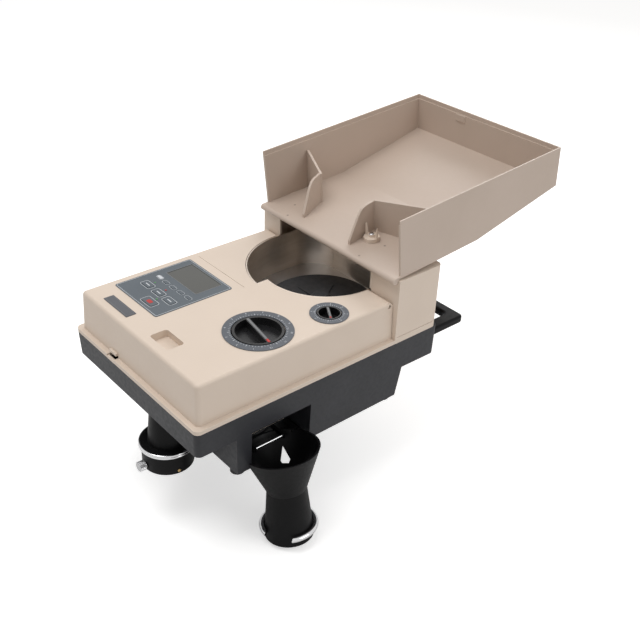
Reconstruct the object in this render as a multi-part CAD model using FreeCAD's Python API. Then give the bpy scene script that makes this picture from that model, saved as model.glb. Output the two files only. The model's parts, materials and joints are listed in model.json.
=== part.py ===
import FreeCAD, Part
import math
import os

# Case, in millimetres: X to the right, Y to the rear, Z up from the table under the feet
body_width = 260.0
front_y = -180.0
rear_y = 180.0
seam_y = 107.5
seam_gap = 0.4
parting_z = 89.0
parting_gap = 0.3
cover_rise = 56.0
riser_rise = 87.5
case_corner = 7.0
base_wall = 3.0
base_draft = 3.0
skin = 2.5
cover_draft = 2.5
cover_edge = 4.0
cover_corner = 5.5
flange_rise = 5.0
flange_step = 6.0

# Base pan and what it stands on
foot_rise = 6.0
foot_radius = 8.5
foot_inset_x = 13.0
foot_inset_y = 9.0
shelf_z = 58.0
rear_low_z = 46.0
rear_step_z = 47.0
rear_step_y = 126.0
well_front_y = -128.0
well_rear_y = 119.0
well_slope = 2.0
recess_front_y = -107.0
recess_rear_y = -22.0
recess_depth = 45.0
post_radius = 5.0

# Carrying handle behind the base
handle_reach = 54.0
handle_rise = 11.0
handle_top_z = 80.5
handle_half_width = 126.0
handle_bar = 15.0
handle_arm = 18.0
handle_corner = 6.0

# Riser under the coin tray
riser_wall = 3.0
riser_open_left_inset = 34.0
riser_open_right_inset = 50.0
groove_height = 8.0
groove_size = 0.8

# Coin tray, laid out level and then tipped up towards the rear
tray_tilt = 4.45
tray_y = 111.0
tray_z = 178.2
tray_depth = 77.0
tray_flat = 132.0
tray_length = 283.0
tray_back_rise = 23.0
tray_half = 127.0
tray_wall = 3.0
tray_rabbet = 1.4
tray_rabbet_drop = 6.0
bead_radius = 4.2
bead_reach = 7.5
guide_wall = 3.0
guide_right_x = 23.0
guide_left_x = -77.0
guide_corner_y = 51.0
guide_right_drift = 28.0
guide_left_drift = 17.0
guide_right_turn = 8.0
guide_left_turn = 23.0
guide_low = 41.5
guide_high = 54.5
wing_screw_x = 41.6
wing_screw_reach = 33.0
wing_base_radius = 10.0
wing_base_rise = 5.0
wing_rise = 15.0
screw_radius = 2.5

# Hopper bowl, feed disc and drive
bowl_y = 101.0
bowl_left_radius = 97.5
bowl_right_radius = 81.5
bowl_step_x = -10.0
bowl_rear_y = 175.0
bowl_rear_corner = 40.0
bowl_clearance = 0.8
shield_sheet = 1.2
ring_wall = 2.2
ring_top_z = 119.0
shield_top_z = 144.4
coin_z = 90.0
disc_thickness = 6.0
disc_clearance = 0.8
disc_shaft_radius = 6.0
disc_hub_radius = 20.0
disc_hub_rise = 12.0
deck_z = 80.0
deck_sheet = 2.0
housing_rise = 11.0
housing_radius = 24.0
bearing_radius = 14.0
bearing_rise = 9.0
pulley_rise = 8.0
disc_pulley_radius = 30.0
motor_pulley_radius = 12.0
belt_sheet = 2.0
motor_x = -60.0
motor_y = 10.0
motor_radius = 28.0
motor_shaft_radius = 4.0
fit = 0.05
running_gap = 0.4

# Coin path, straight and tangent to the bowl, turned by this angle
path_angle = 14.0
track_width = 34.0
rail_sheet = 4.0
rail_start = 74.0
rail_end = 223.0
fence_rise = 9.0
fence_sheet = 2.5
gauge_length = 40.0
gauge_travel = 20.0
coin_gap = 3.4
roller_radius = 10.0
roller_width = 10.0
roller_rear = 92.0
roller_front = 210.0
roller_axle_radius = 2.5
frame_sheet = 2.0

# Dials on the cover
dial_x = 74.9
dial_y = -57.6
dial_ring_radius = 40.9
dial_hole_radius = 31.0
dial_knob_radius = 29.6
dial_bar = 5.0
dial_turn = -10.0
gate_dial_x = 94.8
gate_dial_y = 30.2
gate_ring_radius = 23.2
gate_hole_radius = 15.3
gate_knob_radius = 14.1
gate_bar = 3.4
gate_turn = -32.0
ring_sheet = 2.0
ring_seat = 1.0
knob_rise = 14.0
knob_proud = 1.2
knob_floor = 4.0
dial_shaft_radius = 3.0
dial_shaft_flat = 1.6
socket_depth_in_knob = 3.0
socket_play = 0.6
gate_travel = 3.0
pinion_teeth = 12
pinion_module = 0.8

# Control panel, keys and finger recess on the cover
panel_left = -110.0
panel_right = -18.0
panel_front = -133.4
panel_rear = -25.8
panel_sheet = 1.6
panel_seat = 1.0
panel_corner = 3.0
window_left = -97.0
window_right = -33.0
window_front = -68.5
window_rear = -31.5
key_gap = 0.4
key_travel = 0.5
finger_left = 10.2
finger_right = 46.9
finger_front = -159.0
finger_rear = -136.3
finger_depth = 9.0

# Front catch
catch_x = -47.0
catch_width = 16.0
catch_low_z = 88.0
catch_rise = 9.5

# Outlets
spout_x = 20.0
spout_y = -151.0
spout_radius = 23.0
spout_wall = 2.0
spout_top_radius = 17.5
spout_brim = 2.5
spout_brim_reach = 4.5
spout_low_z = -28.0
collar_radius = 31.0
collar_rise = 31.0
collar_socket = 23.0
thumb_drop = 25.0
bag_ring_wire = 1.5
funnel_y = -67.5
funnel_rim_out = 1.8
funnel_rim_z = 17.8
funnel_rim_radius = 45.5
funnel_neck_out = 13.0
funnel_neck_z = -34.0
funnel_neck_radius = 24.0
funnel_low_out = 19.5
funnel_low_z = -99.0
funnel_low_radius = 29.8
funnel_wall = 2.5
funnel_ring_lift = 13.0
funnel_ring_wire = 3.4
funnel_arm_reach = 21.5
funnel_window = [(-26.8, 23.5, -26.4), (-20.9, 15.7, -44.8), (-11.5, 26.4, -44.2)]
funnel_window_aim = (-0.59, 0.48, -0.65)

# Places worked out from the sizes above
half_width = body_width / 2
riser_open_left = riser_open_left_inset - half_width
riser_open_right = half_width - riser_open_right_inset
funnel_rim_x = half_width + funnel_rim_out
funnel_neck_x = half_width + funnel_neck_out
funnel_low_x = half_width + funnel_low_out
cover_top = parting_z + cover_rise
cover_low = parting_z + parting_gap
riser_top = parting_z + riser_rise
riser_front = seam_y + seam_gap
deck_low = deck_z - deck_sheet
hinge_radius = 6.0
hinge_y = seam_y - hinge_radius
hinge_z = cover_top - hinge_radius
under_cover = cover_top - skin
bowl_inset = bowl_clearance + shield_sheet
disc_radius = bowl_rear_y - bowl_y - bowl_inset - disc_clearance - running_gap
track_outer = bowl_right_radius - bowl_clearance - shield_sheet
track_inner = track_outer - track_width


def along_path(x, y):
    """A place on the machine given along the coin path: across it, then along it."""
    turn = math.radians(path_angle)
    across = x * math.cos(turn) - (y - bowl_y) * math.sin(turn)
    along = x * math.sin(turn) + (y - bowl_y) * math.cos(turn)
    return across, along


dial_across, dial_along = along_path(dial_x, dial_y)
gate_across, gate_along = along_path(gate_dial_x, gate_dial_y)
spout_across, spout_along = along_path(spout_x, spout_y)


def vec(x, y, z):
    return FreeCAD.Vector(x, y, z)


def box(x0, x1, y0, y1, z0, z1):
    return Part.makeBox(x1 - x0, y1 - y0, z1 - z0, vec(x0, y0, z0))


def post(radius, x, y, z0, z1):
    return Part.makeCylinder(radius, z1 - z0, vec(x, y, z0))


def rod(radius, start, end):
    axis = end.sub(start)
    return Part.makeCylinder(radius, axis.Length, start, axis)


def cone(r0, r1, start, end):
    axis = end.sub(start)
    return Part.makeCone(r0, r1, axis.Length, start, axis)


def tube(outer, inner, x, y, z0, z1):
    return post(outer, x, y, z0, z1).cut(post(inner, x, y, z0, z1))


def merged(shapes):
    return shapes[0].multiFuse(shapes[1:]).removeSplitter()


def group(shapes):
    return Part.makeCompound(shapes)


def polygon(points):
    return Part.Face(Part.makePolygon(points + points[:1]))


def side_prism(points, x0, x1):
    """A profile of (y, z) points carried along X."""
    face = polygon([vec(x0, y, z) for y, z in points])
    return face.extrude(vec(x1 - x0, 0, 0))


def plan_prism(points, z0, z1):
    """A profile of (x, y) points carried up along Z."""
    face = polygon([vec(x, y, z0) for x, y in points])
    return face.extrude(vec(0, 0, z1 - z0))


def round_loop(x0, x1, y0, y1, radius, z):
    """A closed rectangle with round corners at one height."""
    low = 1 - math.sqrt(0.5)
    k = radius * low
    edges = []
    corners = [(x1, y0, -1, 1), (x1, y1, -1, -1), (x0, y1, 1, -1), (x0, y0, 1, 1)]
    arcs = []
    for number, (x, y, sx, sy) in enumerate(corners):
        on_y = vec(x + sx * radius, y, z)
        on_x = vec(x, y + sy * radius, z)
        middle = vec(x + sx * k, y + sy * k, z)
        ends = (on_y, on_x) if number % 2 == 0 else (on_x, on_y)
        arcs.append((ends[0], middle, ends[1]))
    for number, (start, middle, end) in enumerate(arcs):
        edges.append(Part.Arc(start, middle, end).toShape())
        following = arcs[(number + 1) % 4][0]
        edges.append(Part.LineSegment(end, following).toShape())
    return Part.Wire(edges)


def round_block(x0, x1, y0, y1, radius, z0, z1):
    face = Part.Face(round_loop(x0, x1, y0, y1, radius, z0))
    return face.extrude(vec(0, 0, z1 - z0))


def tapered_block(low, high):
    """A solid between two round rectangles, each (x0, x1, y0, y1, radius, z)."""
    return Part.makeLoft([round_loop(*low), round_loop(*high)], True, True)


def base_taper(inset, z_top):
    """The base's drafted sides, moved inwards by inset."""
    x = half_width - inset
    low_x = x - base_draft
    radius = case_corner - inset
    front = front_y + inset
    rear = rear_y + 4 - inset
    low = (-low_x, low_x, front + base_draft, rear, radius, foot_rise)
    return tapered_block(low, (-x, x, front, rear, radius, z_top))


def base_profile(inset, z_top):
    """The base seen from the side: front shelf, deep well and raised rear."""
    rear = rear_y + 10
    points = [(front_y - 10, z_top), (front_y - 10, shelf_z + inset)]
    points += [(well_front_y + inset, shelf_z + inset)]
    points += [(well_front_y + well_slope + inset, foot_rise + inset)]
    points += [(well_rear_y - inset, foot_rise + inset)]
    points += [(rear_step_y - inset, rear_step_z + inset)]
    points += [(rear, rear_low_z + inset), (rear, z_top)]
    return side_prism(points, -half_width - 10, half_width + 10)


recess_x = half_width - recess_depth
recess_box = (recess_x, half_width + 10, recess_front_y, recess_rear_y, 0, shelf_z)
chute_front = funnel_y - 28
chute_rear = funnel_y + 28
chute_lip_x = recess_x + 16
chute_low_z = 28.0
post_places = [(x, y) for x in (-108.0, 108.0) for y in (-150.0, 165.0)]
inlet_y = 142.0
inlet_z = 66.0
inlet_width = 27.0
inlet_height = 20.0
rocker_y = 104.0


def base_pan():
    outer = base_taper(0, parting_z).common(base_profile(0, parting_z))
    inner = base_taper(base_wall, parting_z + 1).common(base_profile(base_wall, parting_z + 1))
    grown = box(recess_x - base_wall, half_width + 10, recess_front_y - base_wall,
                recess_rear_y + base_wall, 0, shelf_z + base_wall)
    pan = outer.cut(box(*recess_box)).cut(inner.cut(grown))
    posts = []
    for x, y in post_places:
        floor_z = shelf_z if y < 0 else (rear_low_z + rear_step_z) / 2
        posts.append(post(post_radius, x, y, floor_z + base_wall / 2, deck_low))
    pan = merged([pan] + posts)
    for x, y in post_places:
        pan = pan.cut(post(screw_radius, x, y, shelf_z + base_wall + 2, deck_low + 1))
    mouth = box(recess_x - base_wall - 1, recess_x + 1, chute_front - running_gap,
                chute_rear + running_gap, chute_low_z - 8, shelf_z - 4)
    hole = post(spout_top_radius + running_gap, spout_x, spout_y, shelf_z - 1, shelf_z + base_wall + 1)
    inlet = box(-half_width - 1, -half_width + 8, inlet_y - inlet_width / 2, inlet_y + inlet_width / 2,
                inlet_z - inlet_height / 2, inlet_z + inlet_height / 2)
    switch = box(-half_width - 1, -half_width + 8, rocker_y - 11, rocker_y + 11, inlet_z - 7.5, inlet_z + 7.5)
    return pan.cut(mouth).cut(hole).cut(inlet).cut(switch)


def feet():
    x = half_width - base_draft - foot_inset_x
    rows = (well_front_y + well_slope + foot_inset_y, well_rear_y - foot_inset_y)
    return group([post(foot_radius, side * x, y, 0, foot_rise) for side in (-1, 1) for y in rows])


def carry_handle():
    rear = rear_y + 4
    low_z = handle_top_z - handle_rise
    outer = round_block(-handle_half_width, handle_half_width, rear - handle_corner - 1, rear + handle_reach,
                        handle_corner, low_z, handle_top_z)
    inner = handle_half_width - handle_arm
    gap = round_block(-inner, inner, rear - 30, rear + handle_reach - handle_bar, 6, low_z - 1, handle_top_z + 1)
    case = box(-half_width, half_width, rear - 40, rear, 0, parting_z + 1)
    loop = outer.cut(gap).cut(case)
    edges = [e for e in loop.Edges if e.BoundBox.YMin > rear + 1 and e.BoundBox.ZLength < 0.01]
    return loop.makeFillet(3.0, edges)


def chassis_deck():
    x = half_width - base_wall - 4
    deck = round_block(-x, x, front_y + 14, rear_y - 2, 10, deck_low, deck_z)
    deck = deck.cut(post(disc_shaft_radius + 3, 0, bowl_y, deck_low - 1, deck_z + 1))
    slot = box(track_inner - 6, track_outer - 1, dial_along - gauge_length / 2,
               dial_along + gauge_length / 2, deck_low - 1, deck_z + 1)
    end = box(track_inner, spout_across + spout_top_radius, spout_along - 16, -rail_end - 1, deck_low - 1, deck_z + 1)
    deck = deck.cut(on_path(slot)).cut(on_path(end))
    for x, y in post_places:
        deck = deck.cut(post(screw_radius, x, y, deck_low - 1, deck_z + 1))
    return deck


def on_path(shape):
    """Turns a piece laid out along the path into its place beside the bowl."""
    turned = shape.copy()
    turned.rotate(vec(0, 0, 0), vec(0, 0, 1), -path_angle)
    turned.translate(vec(0, bowl_y, 0))
    return turned


def deck_screws():
    screws = []
    for x, y in post_places:
        shank = post(screw_radius - 0.2, x, y, shelf_z + base_wall + 3, deck_z)
        head = post(screw_radius * 1.8, x, y, deck_z, deck_z + 2.5)
        screws.append(merged([shank, head]))
    return group(screws)


def bowl_loop(inset, z):
    """The bowl's outline: wide on the left, stepped in on the right, straight beside the riser."""
    left = bowl_left_radius - inset
    right = bowl_right_radius - inset
    rear = bowl_rear_y - inset
    corner = bowl_rear_corner - inset
    step = bowl_step_x - inset
    bend = corner * math.sqrt(0.5)
    deep = bowl_y - math.sqrt(left ** 2 - step ** 2)
    near = bowl_y - math.sqrt(right ** 2 - step ** 2)
    half = math.sqrt(0.5)
    p = [vec(step, deep, z), vec(-left, bowl_y, z), vec(-left, rear - corner, z), vec(corner - left, rear, z)]
    p += [vec(right - corner, rear, z), vec(right, rear - corner, z), vec(right, bowl_y, z), vec(step, near, z)]
    left_mid = vec(-left * half, bowl_y - left * half, z)
    right_mid = vec(right * half, bowl_y - right * half, z)
    rear_left = vec(corner - left - bend, rear - corner + bend, z)
    rear_right = vec(right - corner + bend, rear - corner + bend, z)
    edges = [Part.Arc(p[0], left_mid, p[1]), Part.LineSegment(p[1], p[2]), Part.Arc(p[2], rear_left, p[3])]
    edges += [Part.LineSegment(p[3], p[4]), Part.Arc(p[4], rear_right, p[5]), Part.LineSegment(p[5], p[6])]
    edges += [Part.Arc(p[6], right_mid, p[7]), Part.LineSegment(p[7], p[0])]
    return Part.Wire([edge.toShape() for edge in edges])


def bowl_block(inset, z0, z1):
    return Part.Face(bowl_loop(inset, z0)).extrude(vec(0, 0, z1 - z0))


def hopper_shield():
    outer = bowl_block(bowl_clearance, ring_top_z, shield_top_z)
    return outer.cut(bowl_block(bowl_inset, ring_top_z - 1, shield_top_z + 1))


def exit_window(z0, z1):
    return on_path(box(track_inner - 8, track_outer + 8, -rail_start - 6, -6, z0, z1))


def hopper_ring():
    floor_z = coin_z - 0.5
    outer = bowl_block(bowl_inset - ring_wall, floor_z, ring_top_z)
    ring = outer.cut(bowl_block(bowl_inset, floor_z - 1, ring_top_z + 1))
    return ring.cut(exit_window(floor_z - 1, coin_z + fence_rise + 2))


def hopper_base():
    floor_z = coin_z - 0.5
    pocket_z = coin_z - disc_thickness - 1
    block = bowl_block(bowl_inset - ring_wall, deck_z, floor_z)
    block = block.cut(post(disc_radius + disc_clearance, 0, bowl_y, pocket_z, floor_z + 1))
    return block.cut(post(disc_shaft_radius + 3, 0, bowl_y, deck_z - 1, pocket_z + 1))


def feed_disc():
    low = coin_z - disc_thickness
    disc = post(disc_radius, 0, bowl_y, low, coin_z)
    hub = cone(disc_hub_radius, disc_hub_radius * 0.45, vec(0, bowl_y, coin_z), vec(0, bowl_y, coin_z + disc_hub_rise))
    ribs = []
    for turn in range(6):
        rib = box(disc_hub_radius - 3, disc_radius - 26, bowl_y - 2, bowl_y + 2, coin_z, coin_z + 1.6)
        rib.rotate(vec(0, bowl_y, 0), vec(0, 0, 1), 60 * turn)
        ribs.append(rib)
    disc = merged([disc, hub] + ribs)
    return disc.cut(post(disc_shaft_radius, 0, bowl_y, low - 1, coin_z + 4))


pulley_top = deck_low - housing_rise - 1
pulley_low = pulley_top - pulley_rise


def disc_shaft():
    return post(disc_shaft_radius, 0, bowl_y, pulley_low, coin_z + 4)


def bearing_housing():
    body = post(housing_radius, 0, bowl_y, deck_low - housing_rise, deck_low)
    return body.cut(post(bearing_radius, 0, bowl_y, deck_low - housing_rise - 1, deck_low + 1))


def disc_bearing():
    return tube(bearing_radius, disc_shaft_radius + fit, 0, bowl_y, deck_low - bearing_rise, deck_low)


def disc_pulley():
    return tube(disc_pulley_radius, disc_shaft_radius, 0, bowl_y, pulley_low, pulley_top)


def motor_pulley():
    return tube(motor_pulley_radius, motor_shaft_radius + fit, motor_x, motor_y, pulley_low, pulley_top)


def belt_slab(grow, z0, z1):
    """The space inside a belt round the two pulleys, grown outwards."""
    big = disc_pulley_radius + grow
    small = motor_pulley_radius + grow
    dx = motor_x
    dy = motor_y - bowl_y
    reach = math.hypot(dx, dy)
    aim = math.atan2(dy, dx)
    lean = math.acos((big - small) / reach)
    points = []
    for side in (1, -1):
        angle = aim + side * lean
        start = (big * math.cos(angle), bowl_y + big * math.sin(angle))
        end = (motor_x + small * math.cos(angle), motor_y + small * math.sin(angle))
        points += [start, end] if side > 0 else [end, start]
    web = plan_prism(points, z0, z1)
    return merged([web, post(big, 0, bowl_y, z0, z1), post(small, motor_x, motor_y, z0, z1)])


def drive_belt():
    outer = belt_slab(0.3 + belt_sheet, pulley_low + 1, pulley_top - 1)
    return outer.cut(belt_slab(0.3, pulley_low, pulley_top))


def drive_motor():
    floor_z = foot_rise + base_wall
    side = motor_radius + 6
    plate = round_block(motor_x - side, motor_x + side, motor_y - side, motor_y + side, 4, floor_z, floor_z + 3)
    can = post(motor_radius, motor_x, motor_y, floor_z + 3, pulley_low - 7)
    nose = post(9, motor_x, motor_y, pulley_low - 7, pulley_low - 3)
    shaft = post(motor_shaft_radius, motor_x, motor_y, pulley_low - 3, pulley_top)
    return merged([plate, can, nose, shaft])


roller_x = (track_inner + track_outer) / 2
roller_z = coin_z + coin_gap + belt_sheet + roller_radius
rail_low = coin_z - rail_sheet


def coin_rail():
    inner = track_inner - 6
    bowl_edge = post(bowl_right_radius - bowl_inset + ring_wall + 0.3, 0, 0, deck_z, coin_z + fence_rise + 1)
    plate = box(inner, track_outer, -rail_end, -12, rail_low, coin_z).cut(bowl_edge)
    half = gauge_length / 2 + running_gap
    window = box(track_inner + 8, track_outer + 10, dial_along - half, dial_along + half, deck_z - 1, coin_z + 20)
    legs = [box(inner, inner + 4, -rail_end, -rail_start, deck_z, rail_low)]
    legs += [box(track_outer - 4, track_outer, -rail_end, -rail_start, deck_z, rail_low)]
    fence = box(track_outer, track_outer + fence_sheet, -rail_end, -rail_start, deck_z, coin_z + fence_rise)
    lead = box(track_outer, track_outer + fence_sheet, -rail_start, -10, coin_z + running_gap, coin_z + fence_rise)
    return on_path(merged([plate, fence, lead] + legs).cut(window))


def gear_tooth(pitch_radius, z0, z1):
    """One straight-sided tooth of the pinion, pointing along +X."""
    tip = pitch_radius + 0.7 * pinion_module
    root = pitch_radius - 1.2 * pinion_module
    width = 0.62 * pinion_module
    points = [(root - 0.4, -width * 1.35), (tip, -width * 0.55), (tip, width * 0.55), (root - 0.4, width * 1.35)]
    return plan_prism(points, z0, z1)


pinion_radius = pinion_teeth * pinion_module / 2
knob_low = cover_top + knob_proud - knob_rise


shaft_top = knob_low + socket_depth_in_knob - socket_play


def shaft_flat(x, y, play):
    """The space beyond the flat on the top of a dial's shaft."""
    reach = 3 * dial_shaft_radius
    face = x + dial_shaft_flat + play
    return box(face, x + reach, y - reach, y + reach, knob_low - socket_play, knob_low + knob_rise)


def gauge_shaft():
    shaft = post(dial_shaft_radius, 0, 0, deck_z, shaft_top)
    core = post(pinion_radius - 1.2 * pinion_module, 0, 0, rail_low, coin_z)
    teeth = []
    for number in range(pinion_teeth):
        tooth = gear_tooth(pinion_radius, rail_low, coin_z)
        tooth.rotate(vec(0, 0, 0), vec(0, 0, 1), 360.0 * number / pinion_teeth)
        teeth.append(tooth)
    shaft = merged([shaft, core] + teeth)
    shaft.translate(vec(dial_across, dial_along, 0))
    return on_path(shaft).cut(shaft_flat(dial_x, dial_y, 0))


def gauge_slide():
    z0 = rail_low + 0.2
    z1 = coin_z
    half = gauge_length / 2
    inner_x = track_outer - gauge_travel / 2 - 4
    ledge = box(inner_x, track_outer + fence_sheet + 2, dial_along - half, dial_along + half, z0, z1)
    pitch = math.pi * pinion_module
    pitch_y = dial_along + pinion_radius
    root_y = pitch_y + 1.2 * pinion_module
    rack_x = track_outer + fence_sheet
    bar = box(rack_x, dial_across + gauge_travel, root_y, root_y + 5, z0, z1)
    teeth = []
    count = int((gauge_travel + 8) / pitch / 2) + 1
    tip_y = pitch_y - 0.7 * pinion_module
    width = 0.62 * pinion_module
    for number in range(-count, count):
        x = dial_across + (number + 0.5) * pitch
        points = [(x - width * 1.35, root_y + 0.2), (x - width * 0.55, tip_y)]
        points += [(x + width * 0.55, tip_y), (x + width * 1.35, root_y + 0.2)]
        teeth.append(plan_prism(points, z0, z1))
    return on_path(merged([ledge, bar] + teeth))


gate_z = coin_z + fence_rise + 5
gate_arm = 4.0
gate_front = gate_along - 12
guide_pin_x = track_outer + 14


def thickness_gate():
    arm = box(track_outer - 10, gate_across, gate_front, gate_front + 9, gate_z, gate_z + gate_arm)
    finger = box(track_outer - 10, track_outer - 2, gate_front, gate_front + 9, coin_z + 0.4, gate_z)
    boss = post(8, gate_across, gate_along, gate_z, gate_z + gate_arm + 6)
    gate = merged([arm, finger, boss])
    gate = gate.cut(post(dial_shaft_radius + fit, gate_across, gate_along, gate_z - 1, gate_z + 20))
    return on_path(gate.cut(post(2 + fit, guide_pin_x, gate_front + 4.5, gate_z - 1, gate_z + 20)))


def arch(x, y, side, top_z, bore):
    """A bridge on two legs that carries the top of a dial's shaft."""
    bridge = box(x - side, x + side, y - 6, y + 6, top_z, top_z + 3)
    legs = [box(x + k * side - 1.5, x + k * side + 1.5, y - 6, y + 6, deck_z, top_z + 3) for k in (-1, 1)]
    body = merged([bridge] + legs)
    return body.cut(post(bore, x, y, top_z - 1, top_z + 4))


def deck_brackets():
    bore = dial_shaft_radius + fit
    gauge = arch(dial_across, dial_along, 10, coin_z + 24, bore)
    clear = box(0, dial_across + 60, dial_along, dial_along + 20, rail_low - 1, coin_z + 1)
    gate = arch(gate_across, gate_along, 13, gate_z + gate_arm + 6 + gate_travel + 3, bore)
    arm_way = box(0, gate_across, gate_front - 1, gate_front + 10, gate_z - 1, gate_z + gate_arm + gate_travel + 1)
    pin = post(2, guide_pin_x, gate_front + 4.5, deck_z, gate_z + gate_arm + gate_travel + 2)
    return group([on_path(gauge.cut(clear)), on_path(gate.cut(arm_way)), on_path(pin), catch_bracket()])


def gate_screw():
    screw = post(dial_shaft_radius, gate_across, gate_along, deck_z, shaft_top)
    return on_path(screw).cut(shaft_flat(gate_dial_x, gate_dial_y, 0))


def knob(x, y, radius, bar, turn):
    """A cup with a straight grip bar across it, flush with its rim."""
    top = cover_top + knob_proud
    cup = post(radius, x, y, knob_low, top)
    wall = radius * 0.1
    hollow = post(radius - wall, x, y, knob_low + knob_floor, top + 1)
    grip = box(x - radius + wall / 2, x + radius - wall / 2, y - bar / 2, y + bar / 2, knob_low + 1, top)
    body = merged([cup.cut(hollow), grip])
    body.rotate(vec(x, y, 0), vec(0, 0, 1), turn)
    socket = post(dial_shaft_radius + socket_play, x, y, knob_low - 0.1, knob_low + socket_depth_in_knob)
    return body.cut(socket.cut(shaft_flat(x, y, socket_play)))


def dial_ring(x, y, radius, hole):
    low = cover_top - ring_seat
    return tube(radius, hole, x, y, low, low + ring_sheet)


def roller(along):
    drum = rod(roller_radius, vec(roller_x - roller_width / 2, along, roller_z),
               vec(roller_x + roller_width / 2, along, roller_z))
    half = roller_width / 2 + 2 + frame_sheet
    axle = rod(roller_axle_radius, vec(roller_x - half, along, roller_z), vec(roller_x + half, along, roller_z))
    return on_path(merged([drum, axle]))


def belt_loop(radius, x0, x1):
    ends = [rod(radius, vec(x0, -y, roller_z), vec(x1, -y, roller_z)) for y in (roller_rear, roller_front)]
    web = box(x0, x1, -roller_front, -roller_rear, roller_z - radius, roller_z + radius)
    return merged([web] + ends)


def transport_belt():
    x0 = roller_x - roller_width / 2 + 1
    x1 = roller_x + roller_width / 2 - 1
    outer = belt_loop(roller_radius + 0.3 + belt_sheet, x0, x1)
    return on_path(outer.cut(belt_loop(roller_radius + 0.3, x0 - 1, x1 + 1)))


hanger_gap = roller_width / 2 + 2
frame_top = roller_z + roller_radius + belt_sheet + 2
frame_leg_x = track_inner - 16


def belt_frame():
    rear = -roller_rear + 8
    front = -roller_front - 8
    right = roller_x + hanger_gap + frame_sheet
    leg = box(frame_leg_x, frame_leg_x + frame_sheet, front, rear, deck_z, frame_top + frame_sheet)
    roof = box(frame_leg_x, right, front, rear, frame_top, frame_top + frame_sheet)
    low = roller_z - 6
    left_x = roller_x - hanger_gap - frame_sheet
    hangers = [box(x, x + frame_sheet, front, rear, low, frame_top) for x in (left_x, right - frame_sheet)]
    frame = merged([leg, roof] + hangers)
    for y in (-roller_rear, -roller_front):
        frame = frame.cut(rod(roller_axle_radius + fit, vec(left_x - 1, y, roller_z), vec(right + 1, y, roller_z)))
    return on_path(frame)


def transport_motor():
    face = roller_x - hanger_gap - frame_sheet
    body = box(face - 12, face, -roller_rear - 11, -roller_rear + 7, roller_z - 9, roller_z + 9)
    can = rod(7, vec(face - 26 + 6, -roller_rear - 2, roller_z), vec(face - 12, -roller_rear - 2, roller_z))
    return on_path(merged([body, can]))


def count_sensor():
    x = track_outer + fence_sheet
    block = box(x, x + 12, -196, -182, deck_z, coin_z + 16)
    head = box(x - 7, x + 12, -196, -182, coin_z + 10, coin_z + 16)
    return on_path(merged([block, head]))


def off_sort_chute():
    """A sloping steel trough from under the gauge to a lip over the funnel."""
    sheet = 1.5
    bend_x = recess_x - base_wall - 6
    plan = [(-4, chute_front + 8), (bend_x, chute_front), (chute_lip_x, chute_front), (chute_lip_x, chute_rear)]
    plan += [(bend_x, chute_rear), (bend_x - 20, chute_rear + 16), (-4, chute_rear + 16)]
    outer = plan_prism(plan, 0, deck_low)
    inner = Part.Face(Part.makePolygon([vec(x, y, 0) for x, y in plan + plan[:1]])).makeOffset2D(-sheet)
    inner = inner.extrude(vec(0, 0, deck_low + 1))
    mouth = box(recess_x, chute_lip_x + 1, chute_front + sheet, chute_rear - sheet, 0, deck_low)
    slope = (deck_low - 12 - chute_low_z) / (chute_lip_x + 4)

    def above(lift):
        start = chute_low_z + slope * (chute_lip_x + 14) + lift
        end = chute_low_z - slope * 10 + lift
        points = [vec(-10, -300, start), vec(chute_lip_x + 10, -300, end)]
        points += [vec(chute_lip_x + 10, -300, 300), vec(-10, -300, 300)]
        return polygon(points).extrude(vec(0, 600, 0))

    body = outer.common(above(0)).cut(merged([inner, mouth]).common(above(sheet)))
    roof = box(recess_x - base_wall - 2, half_width, -200, 200, shelf_z - 6, deck_low + 1)
    return body.cut(roof)


def count_chute():
    """A box funnel from the end of the rail down to the front outlet."""
    sheet = 1.5
    floor_z = shelf_z + base_wall + spout_brim
    side = spout_top_radius + 1.5

    def taper(inset, z0, z1):
        low = (spout_across - side + inset, spout_across + side - inset, spout_along - side + inset,
               spout_along + side - inset, 12 - inset, z0)
        high = (track_inner - 2 + inset, spout_across + side - inset, spout_along - side + inset,
                spout_along + side - inset, 12 - inset, z1)
        return tapered_block(low, high)

    return on_path(taper(0, floor_z, deck_low).cut(taper(sheet, floor_z - 0.01, deck_low + 0.01)))


hinge_out = half_width - 21
hinge_spans = [(-hinge_out, -hinge_out + 6), (hinge_out - 19, hinge_out)]
hinge_ear = 2.5
hinge_pin_radius = 1.5
ear_radius = 3.1
# Keys on the panel: name, centre x, centre y, width, depth
keys = [
    ("count_key", -86.3, -101.7, 16.5, 8.5),
    ("batch_key", -62.0, -101.7, 16.5, 8.5),
    ("clear_key", -38.8, -101.7, 16.5, 8.5),
    ("start_key", -51.0, -120.8, 21.0, 10.5),
]


def cover_taper(inset, z0, z1, radius):
    """The cover's upper walls, leaning in by the draft, moved inwards by inset."""
    low_x = half_width - flange_step - inset
    high_x = low_x - cover_draft
    front = front_y + flange_step + inset
    rear = seam_y + 60
    low = (-low_x, low_x, front, rear, radius, z0)
    high = (-high_x, high_x, front + cover_draft, rear, radius, z1)
    return tapered_block(low, high)


def rear_lip():
    """The cover's rear edge, rolled round the hinge axis so that it turns in its own space."""
    x = half_width - flange_step - cover_draft
    outer = rod(hinge_radius, vec(-x, hinge_y, hinge_z), vec(x, hinge_y, hinge_z))
    lip = outer.cut(rod(hinge_radius - skin, vec(-x - 1, hinge_y, hinge_z), vec(x + 1, hinge_y, hinge_z)))
    lip = lip.common(box(-x, x, hinge_y, seam_y + 1, hinge_z, cover_top + 1))
    barrels = [rod(hinge_radius, vec(x0, hinge_y, hinge_z), vec(x1, hinge_y, hinge_z)) for x0, x1 in hinge_spans]
    return [lip] + barrels


def hinge_line(radius):
    return rod(radius, vec(-half_width, hinge_y, hinge_z), vec(half_width, hinge_y, hinge_z))


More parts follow.
